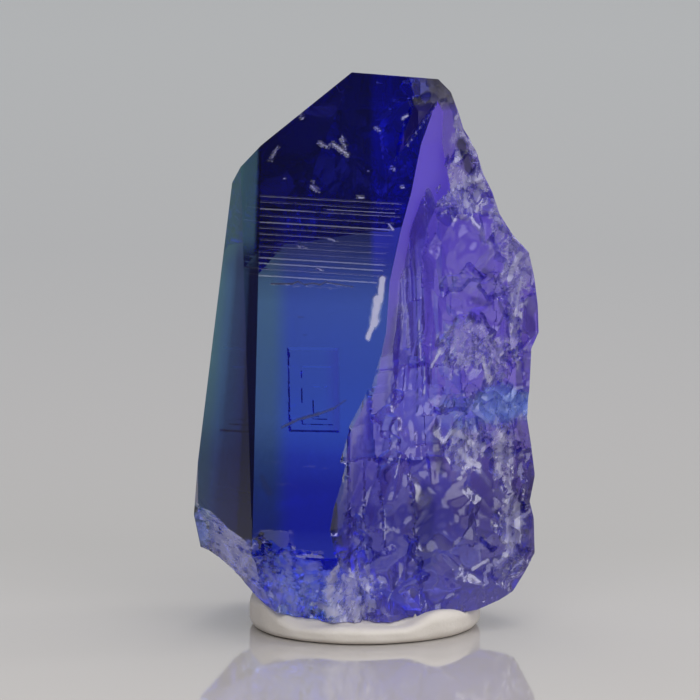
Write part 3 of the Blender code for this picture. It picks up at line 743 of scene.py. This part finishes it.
def crystal_sheets():
    """The front and back sheets as grids of points with the same border in (x, z).

    The front stays within 42 hundredths of the flat thickness, and at the chipped top corner
    nearer by some facets. The back stays within the last 42, so the two never touch.
    """
    across = spaced([(0, 0.42, 0.0075), (0.42, 1, 0.0044)])
    heights = spaced([(GRID_FOOT, 19.7, 0.078), (19.7, 24.9, 0.03), (24.9, GRID_TOP, 0.075)])
    x, z = outline_grid(across, heights)
    front = framed(crease_points(front_sheet, x, z), x, z, front_sheet)
    back = framed(crease_points(back_sheet, x, z), x, z, back_sheet)
    facets = np.clip(hackle(front[..., 0], front[..., 2] * 0.7, 0.34, 1.1, 53) * 1.6, 0, 1)
    facets = facets * np.clip((front[..., 2] - 29.2) * 2, 0, 1)
    front[..., 1] = np.minimum(front[..., 1], share_of_depth(front, 0.42 - 0.3 * facets))
    back[..., 1] = np.maximum(back[..., 1], share_of_depth(back, 0.58))
    return front, back


def share_of_depth(points, share):
    """The depth that lies at a share of the way from the flat front to the flat back."""
    near = front_planes(points[..., 0], points[..., 2])
    far = back_planes(points[..., 0], points[..., 2])
    return near + share * np.maximum(far - near, 0)


def border_loop(rows, columns):
    """Indices round the border of a grid, anticlockwise seen from the front."""
    low = np.arange(columns)
    right = np.arange(1, rows) * columns + columns - 1
    high = (rows - 1) * columns + np.arange(columns - 2, -1, -1)
    left = np.arange(rows - 2, 0, -1) * columns
    return np.concatenate((low, right, high, left))


def grid_quads(rows, columns):
    """The four corners of each cell, anticlockwise seen from the front."""
    corner = (np.arange(rows - 1)[:, None] * columns + np.arange(columns - 1)).ravel()
    return np.stack((corner, corner + 1, corner + columns + 1, corner + columns), 1)


def rim_points(front, back, loop, steps):
    """Points across the rim, from the front border to the back border.

    The straight line between them is pushed inwards in (x, z) by the splinters' depth, times
    4 t (1 - t) so that it starts and ends on the borders.
    """
    first, last = front[loop], back[loop]
    thickness = (last[:, 1] - first[:, 1])[:, None]
    ahead = np.roll(first, -1, 0) - np.roll(first, 1, 0)
    inwards = unit(np.stack((-ahead[:, 2], ahead[:, 0]), 1) + 1e-9)
    share = (np.arange(1, steps) / steps)[None, :]
    y = first[:, 1:2] + share * thickness
    arc = np.concatenate(([0], np.cumsum(np.hypot(*np.diff(first[:, [0, 2]], axis=0).T))))
    relief = splinters(y + 80, arc[:, None] + 0 * y) * np.minimum(thickness / 2.5, 1)
    push = relief * 4 * share * (1 - share)
    x = first[:, 0:1] + inwards[:, 0:1] * push
    z = first[:, 2:3] + inwards[:, 1:2] * push
    return np.stack((x, y, z), -1)


def flat_cells(points, quads, face):
    """Which cells lie wholly in a plane."""
    point, outward = face
    on_face = np.abs((points - np.asarray(point)) @ outward) < 0.0015
    return on_face[quads].all(1)


def nearest(points, place):
    """Index of the point that is nearest to a place (x, z)."""
    return np.argmin((points[:, 0] - place[0]) ** 2 + (points[:, 2] - place[1]) ** 2)


def inside_border(points, places, border):
    """Which places lie inside a border seen from the front: odd crossings of a ray to +X."""
    first, second = points[border[:, 0]], points[border[:, 1]]
    x, z = places[:, 0:1], places[:, 2:3]
    spans = (first[:, 2] > z) != (second[:, 2] > z)
    rise = np.where(spans, second[:, 2] - first[:, 2], 1.0)
    meets = first[:, 0] + (z - first[:, 2]) / rise * (second[:, 0] - first[:, 0])
    return (spans & (meets > x)).sum(1) % 2 == 1


def refilled(points, cells, turned):
    """Triangles that fill the border of a flat group of cells, as seen from the front.

    A cell edge that only one cell of the group uses is on the border. The triangles are a
    constrained Delaunay filling of the border in (x, z), which leaves its holes open.
    """
    edges = np.concatenate([cells[:, [k, (k + 1) % 4]] for k in range(4)])
    edges.sort(axis=1)
    edges, used = np.unique(edges, axis=0, return_counts=True)
    border = edges[used == 1]
    kept, local = np.unique(border, return_inverse=True)
    flat = [Vector((x, z)) for x, _, z in points[kept]]
    filled = delaunay_2d_cdt(flat, local.reshape(-1, 2).tolist(), [], 4, 1e-6)
    back_to = np.array([
        kept[origin[0]] if origin else kept[nearest(points[kept], place)]
        for place, origin in zip(filled[0], filled[3])
    ])
    triangles = back_to[np.array(filled[2])]
    whole = (triangles != np.roll(triangles, 1, 1)).all(1)
    triangles = triangles[whole]
    triangles = triangles[inside_border(points, points[triangles].mean(1), border)]
    corner = points[triangles][:, :, [0, 2]]
    first, second = corner[:, 1] - corner[:, 0], corner[:, 2] - corner[:, 0]
    area = first[:, 0] * second[:, 1] - first[:, 1] * second[:, 0]
    wrong = (area < 0) != turned
    triangles[wrong] = triangles[wrong][:, ::-1]
    return triangles


def with_flat_parts_joined(points, quads, faces, turned):
    """The cells outside the flat faces, and triangles for each flat face's own cells."""
    made = []
    for face in faces:
        flat = flat_cells(points, quads, face)
        if flat.any():
            made.append(refilled(points, quads[flat], turned))
            quads = quads[~flat]
    return quads, np.concatenate(made)


def mesh_from(name, points, quads, triangles):
    """A mesh in metres from points in millimetres and faces of four and three corners."""
    mesh = bpy.data.meshes.new(name)
    corners = np.concatenate((quads.ravel(), triangles.ravel()))
    starts = np.concatenate((
        np.arange(0, quads.size, 4), quads.size + np.arange(0, triangles.size, 3),
    ))
    mesh.vertices.add(len(points))
    mesh.vertices.foreach_set("co", (points * MM).astype(np.float32).ravel())
    mesh.loops.add(len(corners))
    mesh.loops.foreach_set("vertex_index", corners.astype(np.int32))
    mesh.polygons.add(len(starts))
    mesh.polygons.foreach_set("loop_start", starts.astype(np.int32))
    mesh.update(calc_edges=True)
    return mesh


def crystal_mesh():
    """The front, the back and the rim between them, closed, with flat cells joined."""
    front, back = crystal_sheets()
    rows, columns = front.shape[:2]
    steps = 14
    loop = border_loop(rows, columns)
    flat_front, flat_back = front.reshape(-1, 3), back.reshape(-1, 3)
    thin = loop[flat_back[loop, 1] - flat_front[loop, 1] < 0.03]
    flat_back[thin] = flat_front[thin]
    rim = rim_points(flat_front, flat_back, loop, steps)
    points = np.concatenate((flat_front, flat_back, rim.reshape(-1, 3)))
    quads = grid_quads(rows, columns)
    count = rows * columns
    front_faces = [FACES[name] for name in ("front", "strip", "left", "left_edge")]
    back_faces = [FACES[name] for name in ("back", "back_left", "chisel_left", "chisel_top")]
    near, near_flat = with_flat_parts_joined(points, quads, front_faces, False)
    far, far_flat = with_flat_parts_joined(points, quads[:, ::-1] + count, back_faces, True)
    lanes = np.concatenate((
        loop[:, None], 2 * count + np.arange(rim.shape[0] * (steps - 1)).reshape(-1, steps - 1),
        count + loop[:, None],
    ), 1)
    ahead = np.roll(lanes, -1, 0)
    rim_quads = np.stack((lanes[:, :-1], lanes[:, 1:], ahead[:, 1:], ahead[:, :-1]), -1)
    mesh = mesh_from(
        "tanzanite_skin", points, np.concatenate((near, far, rim_quads.reshape(-1, 4))),
        np.concatenate((near_flat, far_flat)),
    )
    tidy_mesh(mesh)
    return mesh


def close_slits(body):
    """Where three faces share an edge, drops the smallest, then fills the slits left open."""
    for edge in [edge for edge in body.edges if len(edge.link_faces) > 2]:
        if edge.is_valid and len(edge.link_faces) > 2:
            extra = min(edge.link_faces, key=lambda face: face.calc_area())
            bmesh.ops.delete(body, geom=[extra], context="FACES_ONLY")
    open_edges = [edge for edge in body.edges if len(edge.link_faces) == 1]
    for face in bmesh.ops.holes_fill(body, edges=open_edges, sides=0)["faces"]:
        if any(edge.is_manifold and not edge.is_contiguous for edge in face.edges):
            face.normal_flip()


def tidy_mesh(mesh):
    """Merges points that coincide, drops loose ones and slits, and turns the faces outwards."""
    body = bmesh.new()
    body.from_mesh(mesh)
    bmesh.ops.remove_doubles(body, verts=body.verts, dist=0.002 * MM)
    close_slits(body)
    close_slits(body)
    loose = [vertex for vertex in body.verts if not vertex.link_faces]
    bmesh.ops.delete(body, geom=loose, context="VERTS")
    if body.calc_volume(signed=True) < 0:
        bmesh.ops.reverse_faces(body, faces=body.faces)
    body.to_mesh(mesh)
    body.free()


def frost_of(x, z):
    """Share of frost from 0 to 1: patches made of small upright flakes, frosted or clear.

    Each flake is a cell of a slanting grid with its own random number, and is frosted where
    that and the nearness to a patch's middle add up to enough.
    """
    grain = hackle(x, z * 0.7, 0.22, 1.0, 29) * 2.2
    flake = cell_random(np.floor((x + 1.1 * grain) / 0.17).astype(np.int64),
                        np.floor((z + 0.4 * x + 1.7 * grain) / 0.36).astype(np.int64), 5, 2)
    frost = np.zeros_like(x)
    for a, u, half_width, half_height, strength in FROST_PATCHES:
        near = 1 - ((x - a) / half_width) ** 2 - ((z - u) / half_height) ** 2
        share = np.clip((near + 0.9 * flake[0] + grain - 0.95) * 3, 0, 1)
        frost = np.maximum(frost, strength * share * (0.55 + 0.45 * flake[1]))
    return frost


def surface_shares(points):
    """Shares from 0 to 1 of how broken, frosted, satin and dark the skin is at each point; the satin share
    also lays a painted sheen, and dark is painted shade of cracks and hollows together with the darkened
    chipped top corner.

    A point is broken where it lies off every growth face, but for the front face's relief,
    and satin where it lies on the smooth facet beside the break's edge.
    """
    off = np.full(len(points), 9.0)
    for point, outward in FACES.values():
        off = np.minimum(off, np.abs((points - np.asarray(point)) @ outward))
    x, y, z = points.T
    on_front = (np.abs(y - plane_y(FACES["front"], x, z)) < 0.25) & (x < edge_of_break(z))
    broken = np.where(on_front & (z > 5.5), 0, np.clip(off / 0.02, 0, 1))
    satin_and_painted_sheen = np.clip(1.5 - np.abs(y - edge_ramp_y(x, z)) / 0.03, 0, 1) * (z < 29.6 + chip_border(x))
    ahead = y < share_of_depth(points, 0.5)
    marks = np.maximum(capsules(x, z, WHITE_CHIPS) * on_front, capsules(x, z, PALE_STREAKS) * broken)
    # Painted shade of the cracks and hollows, on the front half of the skin
    painted_shade = capsules(x, z, PAINTED_SHADE_MARKS) * ahead
    frost = np.maximum(frost_of(x, z) * broken * (1 - satin_and_painted_sheen), marks * ahead) * (1 - painted_shade)
    chipped = np.clip((z - 29.45 - chip_border(x)) * 4, 0, 0.85) * broken * (x > 2.2)
    # dark: the painted shade of cracks and hollows, and the chipped top corner darkened where it is not
    # frosted
    dark = np.maximum(painted_shade, chipped * (1 - frost))
    return {"broken": broken, "frost": frost, "satin_and_painted_sheen": satin_and_painted_sheen, "dark": dark}


def mark_broken(mesh):
    """Gives each face corner of the crystal its shares of "broken", "frost", "satin", "dark".

    The large flat faces get none, so nothing bleeds over them from their borders.
    """
    points = np.empty(len(mesh.vertices) * 3)
    mesh.vertices.foreach_get("co", points)
    shares = surface_shares(points.reshape(-1, 3) / MM)
    corner = np.empty(len(mesh.loops), np.int32)
    mesh.loops.foreach_get("vertex_index", corner)
    sides = np.empty(len(mesh.polygons), np.int32)
    mesh.polygons.foreach_get("loop_total", sides)
    rough_face = np.repeat(sides == 4, sides)
    for name, share in shares.items():
        layer = mesh.attributes.new(name, "FLOAT", "CORNER")
        layer.data.foreach_set("value", (share[corner] * rough_face).astype(np.float32))


def keep_flat(mesh):
    """Shades all but the grid's own cells flat, which leaves the growth faces flat."""
    corners = np.empty(len(mesh.polygons), np.int32)
    mesh.polygons.foreach_get("loop_total", corners)
    flat = mesh.attributes.get("sharp_face") or mesh.attributes.new("sharp_face", "BOOLEAN", "FACE")
    flat.data.foreach_set("value", corners != 4)


def add_piece(name, mesh, node, material):
    """A piece at the origin that rides on the one body and stands for a node."""
    piece = bpy.data.objects.new(name, mesh)
    bpy.context.scene.collection.objects.link(piece)
    mesh.materials.append(material)
    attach(piece, "root")
    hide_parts(node)


def add_crystal():
    """The crystal's skin, smooth on the breaks and flat on the growth faces."""
    mesh = crystal_mesh()
    mark_broken(mesh)
    mesh.shade_smooth()
    mesh.set_sharp_from_angle(angle=SHARP_ANGLE)
    keep_flat(mesh)
    add_piece("tanzanite_skin", mesh, "tanzanite_crystal", tanzanite())


# The putty pad

PAD_RADIUS = 6.35
PAD_TOP = 1.5
PAD_EDGE = 0.55             # radius of the rounded edges
PAD_GAP = 0.04              # between the putty and the crystal
PAD_SINK = 0.40             # share by which the putty is pressed lower in front


def lowest_crystal(x, y):
    """Height of the crystal's underside over (x, y), or 99 where there is none.

    It is the first of a row of heights at which y lies between the front and back sheets and
    the height is above the base outline.
    """
    base_x, base_z = np.array(BASE_OUTLINE).T
    floor_z = np.interp(x, base_x, base_z)
    found = np.full_like(x, 99.0)
    for height in np.linspace(4.0, 1.0, 61):
        z = np.full_like(x, height)
        foot = plane_y(FOOT, x, z) + 0.3
        inside = (np.maximum(front_planes(x, z), foot) < y) & (back_planes(x, z) > y)
        found = np.where(inside & (height >= floor_z - 0.03), height, found)
    return found


def pad_profile(share):
    """(radius, height) of the pad for shares 0 to 1, from the middle of its top round to
    the middle of its underside, with both edges rounded."""
    bend = np.linspace(0, math.pi / 2, 9)
    flat = PAD_RADIUS - PAD_EDGE
    top = np.stack((flat + PAD_EDGE * np.sin(bend), PAD_TOP - PAD_EDGE + PAD_EDGE * np.cos(bend)), 1)
    low = np.stack((flat + PAD_EDGE * np.cos(bend), PAD_EDGE - PAD_EDGE * np.sin(bend)), 1)
    corners = np.concatenate(([(0.0, PAD_TOP)], top, low, [(0.0, 0.0)]))
    length = np.concatenate(([0], np.cumsum(np.hypot(*np.diff(corners, axis=0).T))))
    return (np.interp(share * length[-1], length, corners[:, 0]),
            np.interp(share * length[-1], length, corners[:, 1]))


def pad_points(around, along):
    """The pad's surface as rows of points from the middle of its top to that of its underside.

    It is a surface of turn, swollen by a few per cent round the edge and dented by slow
    waves. Its top stays a little under the crystal and climbs towards it where it is near.
    """
    turn = np.arange(around) / around * 2 * math.pi
    radius, height = pad_profile(np.linspace(0, 1, along))
    angle, radius = np.meshgrid(turn, radius)
    height = height[:, None] * np.ones(around)
    swell = (0.012 * np.sin(3 * angle + 1) + 0.008 * np.sin(7 * angle + 0.5)
             + 0.004 * np.sin(17 * angle + 3 * height))
    rise = np.clip(height / PAD_TOP, 0, 1)
    x = radius * (1 + swell * 0.5) * np.cos(angle)
    y = radius * (1 + swell * 0.5) * np.sin(angle)
    z = height + rise * (0.05 * np.sin(1.1 * x + 0.7 * y) + 0.03 * np.sin(2.3 * y - 1.7 * x))
    top = height > PAD_TOP * 0.6
    in_front = np.clip((-2.6 - y) / 2.6, 0, 1) * np.clip((4.4 - x) / 2.4, 0, 1)
    in_front = in_front ** 2 * (3 - 2 * in_front)
    z = z * (1 - PAD_SINK * in_front)
    underside = lowest_crystal(x, y)
    climb = np.clip((3.0 - underside) / 1.2, 0, 1) * 0.5 * (1 - in_front)
    z = np.where(top, np.minimum(z + climb * top, underside - PAD_GAP), z)
    z[-1] = 0
    return np.stack((x, y, z), -1)


def pad_mesh():
    """The pad's rows of points joined by quads, with a fan of triangles at each middle."""
    around, along = 260, 150
    surface = pad_points(around, along)
    middle_top = (0, 0, float(surface[0, 0, 2]))
    points = np.concatenate((surface[1:-1].reshape(-1, 3), [middle_top, (0, 0, 0)]))
    row = np.arange(along - 3)[:, None] * around
    ring = np.arange(around)
    ahead = (ring + 1) % around
    corner, beside = row + ring, row + ahead
    quads = np.stack((corner, corner + around, beside + around, beside), -1).reshape(-1, 4)
    last = (along - 3) * around
    caps = np.concatenate((
        np.stack((np.full(around, len(points) - 2), ring, ahead), 1),
        np.stack((np.full(around, len(points) - 1), last + ahead, last + ring), 1),
    ))
    mesh = mesh_from("putty_dab", points, quads, caps)
    tidy_mesh(mesh)
    mesh.shade_smooth()
    return mesh


# Materials

def linear(code):
    """An sRGB hex colour as linear red, green, blue and alpha."""
    parts = [int(code[k:k + 2], 16) / 255 for k in (1, 3, 5)]
    return tuple(p / 12.92 if p <= 0.04045 else ((p + 0.055) / 1.055) ** 2.4 for p in parts) + (1.0,)


def add_node(tree, kind, inputs=None, result=0, stops=(), **settings):
    """Adds a node with its settings, values and links, and gives back one of its outputs.

    A colour ramp also gets its stops, as (position, hex colour).
    """
    made = tree.nodes.new(kind)
    for name, value in settings.items():
        setattr(made, name, value)
    for key, value in (inputs or {}).items():
        if isinstance(value, bpy.types.NodeSocket):
            tree.links.new(value, made.inputs[key])
        else:
            made.inputs[key].default_value = value
    for number, (position, code) in enumerate(stops):
        elements = made.color_ramp.elements
        element = elements[number] if number < len(elements) else elements.new(1.0)
        element.position = position
        element.color = linear(code)
    return made.outputs[result] if len(made.outputs) else None


def new_material(name):
    material = bpy.data.materials.new(name)
    material.use_nodes = True
    material.node_tree.nodes.clear()
    return material, material.node_tree


def place_in_mm(tree):
    """The object's own place in millimetres, and its x, y and z."""
    place = add_node(tree, "ShaderNodeTexCoord", result="Object")
    scaled = add_node(tree, "ShaderNodeVectorMath", {0: place, "Scale": 1 / MM}, operation="SCALE")
    return scaled, *add_node(tree, "ShaderNodeSeparateXYZ", {0: scaled}, slice(0, 3))


def within(tree, share, limits):
    """A share times a smooth step from 0 at low to 1 at high, for each (value, low, high)."""
    for value, low, high in limits:
        step = add_node(tree, "ShaderNodeMapRange", {0: value, 1: low, 2: high},
                        interpolation_type="SMOOTHSTEP")
        share = add_node(tree, "ShaderNodeMath", {0: share, 1: step}, operation="MULTIPLY")
    return share


def layered(tree, colour, layers):
    """A colour with others laid over it in turn, each as (share, colour)."""
    for share, over in layers:
        colour = add_node(tree, "ShaderNodeMix", {0: share, 6: colour, 7: over}, 2, data_type="RGBA")
    return colour


def by_height(tree, z, stops):
    """A colour that changes with the height, with stops as (millimetres, hex colour)."""
    share = add_node(tree, "ShaderNodeMapRange", {0: z, 2: CRYSTAL_TOP})
    return add_node(tree, "ShaderNodeValToRGB", {0: share},
                    stops=[(height / CRYSTAL_TOP, code) for height, code in stops])


def across_left(tree, x, z):
    """Share of the way from the left outline to the front face's edge, whose x grow with z."""
    ends = [add_node(tree, "ShaderNodeMath", {0: z, 1: slope, 2: foot}, operation="MULTIPLY_ADD")
            for slope, foot in (LEFT_OUTLINE_LINE, FRONT_EDGE_LINE)]
    return add_node(tree, "ShaderNodeMapRange", {0: x, 1: ends[0], 2: ends[1]})


def grown_tint(tree, x, z, across):
    """Tint of the unbroken zones: the left faces, teal beside them, blue, and a bluer stripe, with painted
    shade darkening the top.
    """
    left = add_node(tree, "ShaderNodeMix", {
        0: 1.0, 6: add_node(tree, "ShaderNodeValToRGB", {0: across}, stops=LEFT_TINTS),
        7: by_height(tree, z, LEFT_SHADES)}, 2, data_type="RGBA", blend_type="MULTIPLY")
    beyond = add_node(tree, "ShaderNodeMath", {0: across, 1: 0.995}, operation="GREATER_THAN")
    teal = within(tree, 1.0, [(x, -3.9, -5.2)])
    bluer = within(tree, 1.0, [(x, 0.2, 0.7), (z, 19, 21.5)])
    front = layered(tree, by_height(tree, z, GROWN_TINTS_AND_TOP_SHADE), [
        (teal, by_height(tree, z, TEAL_TINTS_AND_TOP_SHADE)), (bluer, linear("#5860d8")),
    ])
    return layered(tree, left, [(beyond, front)])


def tanzanite():
    """Clear trichroic crystal: glassy growth faces, and breaks that go from glassy to frosted.

    The colour zones follow the growth of the crystal: clear blue in the middle, greenish at the thin left
    edge and violet along the broken side, while the dark blue under the chisel top is painted shade.
    """
    material, tree = new_material("tanzanite, grown and broken")
    place, x, _, z = place_in_mm(tree)
    broken, frost, satin_and_painted_sheen, dark = [
        add_node(tree, "ShaderNodeAttribute", result="Fac", attribute_name=name)
        for name in ("broken", "frost", "satin_and_painted_sheen", "dark")
    ]
    across = across_left(tree, x, z)
    etched = within(tree, 0.8, [(across, 0.98, 0.80), (z, 20.5, 22.5)])
    right = within(tree, 1.0, [(x, 3.0, 4.2)])
    violet = add_node(tree, "ShaderNodeMath", {0: broken, 1: right}, operation="MAXIMUM")
    violet = within(tree, violet, [(x, -2.4, -0.6)])
    # The satin facet's share, less low down, lays a violet that is painted sheen, lightest towards the top;
    # its roughness and lower transmission are the satin finish
    upper = add_node(tree, "ShaderNodeMapRange", {0: z, 1: 9, 2: 22, 3: 0.5, 4: 1.0})
    satin_and_painted_sheen = add_node(tree, "ShaderNodeMath", {0: satin_and_painted_sheen, 1: upper}, operation="MULTIPLY")
    crushed = add_node(tree, "ShaderNodeMath", {0: frost, 1: 1.4}, operation="POWER")
    drift = add_node(tree, "ShaderNodeTexNoise", {"Vector": place, "Scale": 0.6, "Detail": 3})
    wavy = add_node(tree, "ShaderNodeMath", {0: drift, 1: 2.4, 2: z}, operation="MULTIPLY_ADD")
    # A wavy band across the break: a milky crack, with a pale blue laid over it that is painted glitter
    crack_band_and_painted_glitter = within(tree, violet, [(wavy, 12.2, 13.0), (wavy, 14.8, 14.2), (x, 3.2, 7.4)])
    # The near-black laid over last is painted shade of cracks and hollows, and darkens the chipped top
    # corner
    tint = layered(tree, grown_tint(tree, x, z, across), [
        (violet, by_height(tree, z, VIOLET_TINTS)), (satin_and_painted_sheen, by_height(tree, z, SATIN_TINTS_AND_PAINTED_SHEEN)),
        (etched, linear("#5c8490")), (crushed, linear("#e6e4fc")), (crack_band_and_painted_glitter, linear("#98b0ff")),
        (dark, linear("#0c0a24")),
    ])
    silky = add_node(tree, "ShaderNodeMath", {0: violet, 1: 0.36}, operation="MULTIPLY")
    milky = add_node(tree, "ShaderNodeMath", {0: crack_band_and_painted_glitter, 1: 0.85}, operation="MULTIPLY")
    hazy, matt = frost, crushed
    for share in (satin_and_painted_sheen, silky, dark):
        hazy = add_node(tree, "ShaderNodeMath", {0: hazy, 1: share}, operation="MAXIMUM")
    for share in (satin_and_painted_sheen, etched, silky, milky):
        matt = add_node(tree, "ShaderNodeMath", {0: matt, 1: share}, operation="MAXIMUM")
    rough = add_node(tree, "ShaderNodeMapRange", {0: hazy, 3: 0.02, 4: 0.36})
    clear = add_node(tree, "ShaderNodeMapRange", {0: matt, 3: 1.0, 4: 0.42})
    body = add_node(tree, "ShaderNodeBsdfPrincipled", {
        "Base Color": tint, "Roughness": rough, "IOR": 1.69, "Transmission Weight": clear,
    })
    inside = add_node(tree, "ShaderNodeVolumeAbsorption", {"Color": (0.037, 0.088, 0.95, 1), "Density": 125})
    add_node(tree, "ShaderNodeOutputMaterial", {"Surface": body, "Volume": inside})
    return material


def mounting_putty():
    """Kneaded putty pressed by hand: matt, slightly greasy, warm off-white."""
    material, tree = new_material("mounting putty, pressed")
    place = place_in_mm(tree)[0]
    mottle = add_node(tree, "ShaderNodeTexNoise", {"Vector": place, "Scale": 0.7, "Detail": 4})
    colour = layered(tree, linear("#dbd3c9"), [(mottle, linear("#e8e1d9"))])
    grain = add_node(tree, "ShaderNodeTexNoise", {"Vector": place, "Scale": 5, "Detail": 5})
    bump = add_node(tree, "ShaderNodeBump", {"Height": grain, "Strength": 0.35, "Distance": 0.00006})
    body = add_node(tree, "ShaderNodeBsdfPrincipled", {
        "Base Color": colour, "Roughness": 0.62, "IOR": 1.5, "Normal": bump,
    })
    add_node(tree, "ShaderNodeOutputMaterial", {"Surface": body})
    return material


def glossy_table():
    """Polished pale acrylic: a soft grey body under a clear gloss that mirrors the object, with painted
    light that is lightest just in front of the pad and painted shade far to the sides.
    """
    material, tree = new_material("acrylic sheet, polished")
    _, x, y, _ = place_in_mm(tree)
    # Painted light: the table's shade goes by the distance behind the pad, and painted shade darkens it 45
    # to 110 mm to the sides
    back = add_node(tree, "ShaderNodeMapRange", {0: y, 1: -25, 2: 200})
    sideways = add_node(tree, "ShaderNodeMath", {0: x}, operation="ABSOLUTE")
    painted_shade_aside = within(tree, 1.0, [(sideways, 45, 110)])
    colour = layered(tree, add_node(tree, "ShaderNodeValToRGB", {0: back}, stops=FLOOR_PAINTED_LIGHT_STOPS),
                     [(painted_shade_aside, linear("#6a6a6c"))])
    body = add_node(tree, "ShaderNodeBsdfPrincipled", {
        "Base Color": colour, "Roughness": 0.05, "IOR": 1.45,
    })
    add_node(tree, "ShaderNodeOutputMaterial", {"Surface": body})
    return material


# The studio

# Lights as (name, place, width and height, power in watts)
SOFTBOXES = [
    ("softbox above", (0.05, 0.02, 0.45), (0.30, 0.30), 0.55),
    ("softbox front", (0.12, -0.50, 0.38), (0.80, 0.60), 2.6),
    ("strip right", (0.45, 0.12, 0.16), (0.10, 0.30), 0.35),
]


def add_floor():
    """A wide flat sheet under the pad, far larger than the picture shows."""
    reach = 3000.0
    points = np.array([(-reach, -reach, 0), (reach, -reach, 0), (reach, reach, 0), (-reach, reach, 0)])
    mesh = mesh_from("table", points, np.array([[0, 1, 2, 3]]), np.zeros((0, 3), int))
    mesh.materials.append(glossy_table())
    table = bpy.data.objects.new("table", mesh)
    bpy.context.scene.collection.objects.link(table)


def add_softbox(name, place, size, power):
    """A rectangular area light that looks at the middle of the crystal."""
    light = bpy.data.lights.new(name, "AREA")
    light.shape = "RECTANGLE"
    light.size, light.size_y = size
    light.energy = power
    lamp = bpy.data.objects.new(name, light)
    bpy.context.scene.collection.objects.link(lamp)
    lamp.location = place
    lamp.rotation_mode = "QUATERNION"
    lamp.rotation_quaternion = (Vector((0, 0, 0.015)) - Vector(place)).to_track_quat("-Z", "Y")


def add_room():
    """The studio round the object: bright behind and above, darker on the camera's side."""
    world = bpy.data.worlds.new("studio")
    bpy.context.scene.world = world
    world.use_nodes = True
    tree = world.node_tree
    tree.nodes.clear()
    way = add_node(tree, "ShaderNodeTexCoord", result="Generated")
    _, y, z = add_node(tree, "ShaderNodeSeparateXYZ", {0: way}, slice(0, 3))
    behind = within(tree, 1.0, [(y, -0.6, 0.7)])
    lit = add_node(tree, "ShaderNodeMath", {0: behind, 1: 0.65, 2: 0.35}, operation="MULTIPLY_ADD")
    above = within(tree, lit, [(z, 0.2, 0.6)])
    low = add_node(tree, "ShaderNodeValToRGB", {0: behind},
                   stops=[(0.0, "#484848"), (0.4, "#404246"), (1.0, "#bcbec0")])
    sky = layered(tree, low, [(above, linear("#f0f1f4"))])
    back = add_node(tree, "ShaderNodeBackground", {"Color": sky, "Strength": 1.0})
    add_node(tree, "ShaderNodeOutputWorld", {"Surface": back})


def add_camera():
    """A long lens at the photograph's angle: 10 degrees above the surface, from -Y."""
    far, high = 1.2, math.radians(10)
    target = Vector((-0.00077, 0, 0.01536))
    camera = bpy.data.cameras.new("camera")
    camera.sensor_width = 36
    camera.lens = 36 * far / 0.0385
    camera.clip_start = 0.1
    camera.clip_end = 20
    holder = bpy.data.objects.new("camera", camera)
    bpy.context.scene.collection.objects.link(holder)
    holder.location = target + Vector((0, -far * math.cos(high), far * math.sin(high)))
    holder.rotation_euler = (math.pi / 2 - high, 0, 0)
    bpy.context.scene.camera = holder


def main():
    add_crystal()
    add_piece("putty_dab", pad_mesh(), "putty_pad", mounting_putty())
    add_floor()
    add_room()
    for softbox in SOFTBOXES:
        add_softbox(*softbox)
    add_camera()
    scene = bpy.context.scene
    scene.view_settings.view_transform = "Standard"
    scene.cycles.max_bounces = 16
    scene.cycles.transmission_bounces = 14
    scene.cycles.glossy_bounces = 8


main()
